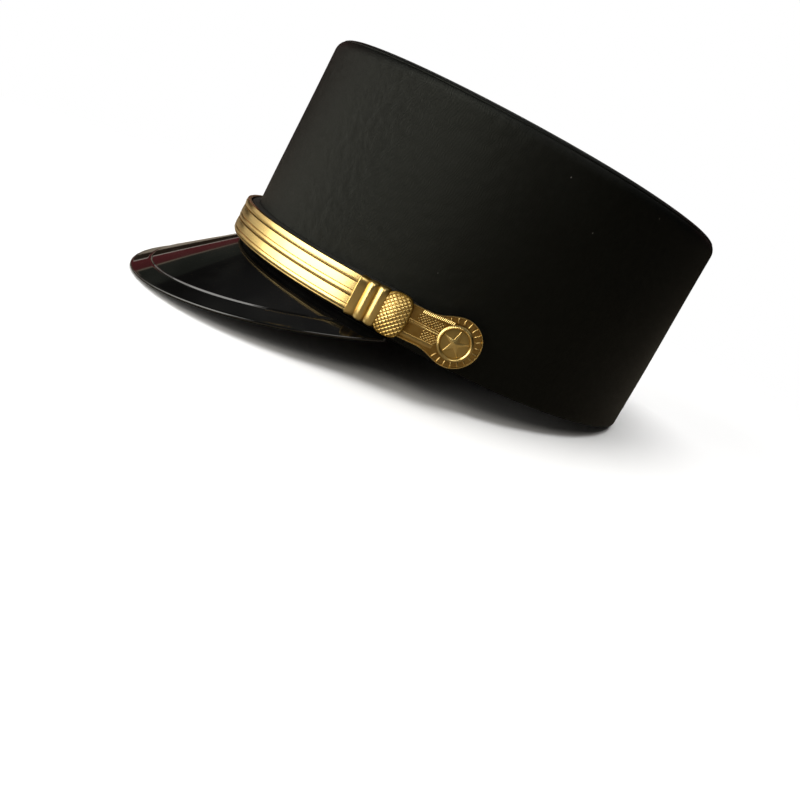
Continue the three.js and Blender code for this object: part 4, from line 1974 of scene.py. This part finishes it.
@dataclass
class Studio:
    """The pale floor, the soft lights, the room that the gloss reflects and the camera.

    The camera sees the floor in its paper colour, and reflections and bounced light see it in the darker
    bounce colours: a painted pool of light, lighter near the cap and darker far off, and a lighter painted
    pool of light beside the cap on each side.
    """

    paper: Colour = (0.86, 0.86, 0.86, 1.0)
    white: Colour = (1.0, 1.0, 1.0, 1.0)
    # The floor as reflections and bounced light see it: painted pools of light, not the paper's own colour.
    bounce: Colour = (0.12, 0.104, 0.08, 1.0)
    bounce_far: Colour = (0.04, 0.03, 0.02, 1.0)
    painted_light_pool: Colour = (0.23, 0.195, 0.15, 1.0)
    painted_light_pool_place: Triple = (0.62, -0.25, 0.0)
    room_dark: Colour = (0.008, 0.008, 0.008, 1.0)
    room_ceiling: Colour = (0.08, 0.08, 0.08, 1.0)
    wall_bands: tuple[tuple[float, Colour], ...] = (
        (0.50, (0.02, 0.013, 0.008, 1)),
        (0.568, (0.7, 0.62, 0.54, 1)),
        (0.575, (0.13, 0.026, 0.028, 1)),
        (0.652, (0.32, 0.27, 0.2, 1)),
        (0.659, (0.03, 0.034, 0.027, 1)),
        (0.75, (0.008, 0.008, 0.008, 1)),
    )
    paper_fade: Pair = (0.16, 0.5)
    bounce_fade: Pair = (0.35, 0.9)
    painted_light_pool_fade: Pair = (0.3, 0.7)
    bands_fade: Pair = (-0.75, -0.45)
    ceiling_fade: Pair = (0.6, 0.95)
    band_edge: float = 0.002
    paper_grain: float = 40.0
    floor_radius: float = 6.0
    camera_place: Triple = (344.25, -121.98, 89.15)
    camera_aim: Triple = (11.93, 8.54, -25.55)
    camera_roll: float = math.radians(21.39)
    photo_side: float = 800.0
    focal_pixels: float = 766.5
    sensor: float = 36.0
    lights: list[Softbox] = field(default_factory=lambda: [
        Softbox("key_front", (0.28, -1.15, 0.6), (0.86, 1.2), 12.5, (1.0, 0.98, 0.93), (0.28, 0.0, 0.6)),
        Softbox("key_middle", (-0.31, -1.15, 0.6), (0.32, 1.2), 2.9, (1.0, 0.98, 0.92), (-0.31, 0.0, 0.6)),
        Softbox("key_left", (-0.64, -1.15, 0.6), (0.34, 1.2), 0.95, (1.0, 0.97, 0.9), (-0.64, 0.0, 0.6)),
        Softbox("card_left", (-1.17, -1.15, 0.17), (0.7, 0.34), 0.36, (1.0, 0.95, 0.88), (-1.17, 0.0, 0.17)),
        Softbox("top_wash", (0.0, 0.1, 1.4), (1.2, 1.2), 24.0, mirrored=False),
        Softbox("side_high", (0.85, -0.3, 0.85), (0.4, 0.4), 1.7, (1.0, 0.96, 0.88)),
        Softbox("roof_fill", (0.0, 0.65, 1.15), (1.1, 0.5), 0.8, (1.0, 0.98, 0.95)),
        Softbox("back_fill", (-1.25, 0.5, 0.6), (0.7, 0.9), 1.4, (1.0, 0.98, 0.95)),
        Softbox("side_card", (1.1, 0.28, 0.16), (0.7, 0.4), 0.08, (1.0, 0.86, 0.66), (0.1, 0.0, 0.1)),
    ])

    def build(self) -> None:
        """Builds the whole studio."""
        self.lay_floor()
        self.light_room()
        for light in self.lights:
            light.hang()
        self.set_camera()

    def lay_floor(self) -> None:
        """Lays a round pale floor that fades into the white room far from the cap."""
        bm = bmesh.new()
        bmesh.ops.create_circle(bm, segments=96, radius=self.floor_radius, cap_ends=True)
        mesh = bpy.data.meshes.new("floor")
        bm.to_mesh(mesh)
        bm.free()
        material, graph, shader = new_material("floor_paper")
        place = graph.node("ShaderNodeTexCoord").outputs["Object"]
        grain = graph.noise(place, self.paper_grain)
        shader.inputs["Roughness"].default_value = 0.9
        shader.inputs["Specular IOR Level"].default_value = 0.1
        paper = graph.mix(grain, self.paper, tuple(0.99 * c for c in self.paper))
        distance = graph.node("ShaderNodeVectorMath", {0: place}, operation="LENGTH").outputs["Value"]
        far = graph.remap(distance, *self.paper_fade, 0.0, 1.0)
        seen = graph.node("ShaderNodeLightPath").outputs["Is Camera Ray"]
        # Painted pool of light for reflections and bounced light: the floor is lighter near the cap and
        # darker far off.
        near = graph.mix(graph.remap(distance, *self.bounce_fade, 0.0, 1.0), self.bounce, self.bounce_far)
        # A lighter painted pool of light beside the cap, mirrored to both sides, lights the gold trim and
        # shows in it.
        parts = graph.node("ShaderNodeSeparateXYZ", {"Vector": place}).outputs
        inputs = {"X": graph.math("ABSOLUTE", parts["X"]), "Y": parts["Y"]}
        folded = graph.node("ShaderNodeCombineXYZ", inputs)
        beside = graph.node("ShaderNodeVectorMath", {0: folded.outputs[0], 1: self.painted_light_pool_place},
                            operation="DISTANCE")
        patch = graph.remap(beside.outputs["Value"], *self.painted_light_pool_fade, 1.0, 0.0)
        near = graph.mix(patch, near, self.painted_light_pool)
        graph.tree.links.new(graph.mix(seen, near, paper), shader.inputs["Base Color"])
        glow = graph.node("ShaderNodeEmission", {"Color": self.white, "Strength": 1.0})
        share = graph.math("MULTIPLY", far, seen)
        inputs = {0: share, 1: shader.outputs["BSDF"], 2: glow.outputs["Emission"]}
        blend = graph.node("ShaderNodeMixShader", inputs)
        output = next(node for node in graph.tree.nodes if node.type == "OUTPUT_MATERIAL")
        graph.tree.links.new(blend.outputs[0], output.inputs["Surface"])
        mesh.materials.append(material)
        floor = bpy.data.objects.new("floor", mesh)
        bpy.context.scene.collection.objects.link(floor)

    def light_room(self) -> None:
        """Makes a white backdrop, and a dim room for the gloss to reflect."""
        world = bpy.data.worlds.new("room")
        world.use_nodes = True
        world.node_tree.nodes.clear()
        graph = Graph(world.node_tree)
        direction = graph.node("ShaderNodeTexCoord").outputs["Generated"]
        parts = graph.node("ShaderNodeSeparateXYZ", {"Vector": direction}).outputs
        level = graph.math("MULTIPLY_ADD", parts["Z"], 0.5, 0.5)
        bands = graph.node("ShaderNodeValToRGB", {"Fac": level})
        self.fill_ramp(bands.color_ramp)
        beside = graph.remap(parts["X"], *self.bands_fade, 1.0, 0.0)
        wall = graph.mix(beside, self.room_dark, bands.outputs["Color"])
        room = graph.mix(graph.remap(parts["Z"], *self.ceiling_fade, 0.0, 1.0), wall, self.room_ceiling)
        seen = graph.node("ShaderNodeLightPath").outputs["Is Camera Ray"]
        inputs = {"Color": graph.mix(seen, room, self.white), "Strength": 1.0}
        backdrop = graph.node("ShaderNodeBackground", inputs)
        graph.node("ShaderNodeOutputWorld", {"Surface": backdrop.outputs["Background"]})
        scene = bpy.context.scene
        scene.world = world
        scene.view_settings.view_transform = "Standard"

    def fill_ramp(self, ramp: bpy.types.ColorRamp) -> None:
        """Fills the ramp with the far wall's bands, whose places run from 0 straight down to 1 straight up.

        Args:
            ramp: the ramp to fill.
        """
        edge = self.band_edge
        stops = []
        for (place, colour), above in zip(self.wall_bands, self.wall_bands[1:] + ((1.0, None),)):
            stops += [(place + edge, colour), (above[0] - edge, colour)]
        ramp.elements[0].position, ramp.elements[0].color = stops[0]
        ramp.elements[1].position, ramp.elements[1].color = stops[-1]
        for place, colour in stops[1:-1]:
            ramp.elements.new(place).color = colour

    def set_camera(self) -> None:
        """Sets the camera at the photograph's angle to the cap."""
        data = bpy.data.cameras.new("camera")
        data.sensor_width = self.sensor
        data.lens = self.sensor * self.focal_pixels / self.photo_side
        data.clip_start = 0.01
        camera = bpy.data.objects.new("camera", data)
        camera.location = Vector(self.camera_place) * MM
        towards = Vector(self.camera_aim) - Vector(self.camera_place)
        camera.rotation_mode = "QUATERNION"
        roll = Quaternion((0, 0, 1), self.camera_roll)
        camera.rotation_quaternion = towards.to_track_quat("-Z", "Y") @ roll
        bpy.context.scene.collection.objects.link(camera)
        bpy.context.scene.camera = camera


GOLD_POLISHED = GoldFinish("gold_polished", (0.95, 0.69, 0.26, 1), (0.12, 0.085, 0.025, 1), 0.22, 0.4, 0.08)
GOLD_SATIN = GoldFinish("gold_satin", (0.94, 0.68, 0.25, 1), (0.34, 0.2, 0.035, 1), 0.3, 0.45, 0.2)
GOLD_AGED = GoldFinish("gold_aged", (0.97, 0.72, 0.28, 1), (0.42, 0.23, 0.05, 1), 0.24, 0.42, 0.2)


def main() -> None:
    logging.basicConfig(level=logging.INFO, format="%(name)s %(message)s")
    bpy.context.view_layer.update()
    crown = CrownShape()
    visor = VisorShape(crown)
    stand = Stand.from_frame(crown, visor)
    trim = TrimLine(crown)
    effects = Effects()
    cloth = ClothFinish().material()
    satin = GOLD_SATIN.material(effects)
    aged = GOLD_AGED.material(effects)
    CrownPieces(crown, stand, cloth).build()
    VisorPiece(visor, stand, PatentFinish().material(effects)).build()
    StrapPieces(trim, stand, GOLD_POLISHED.material(effects), BandFinish().material(effects)).build()
    for side in Side:
        SidePieces(side, trim, stand, satin, aged).build()
    Studio().build()


if __name__ == "__main__":
    main()
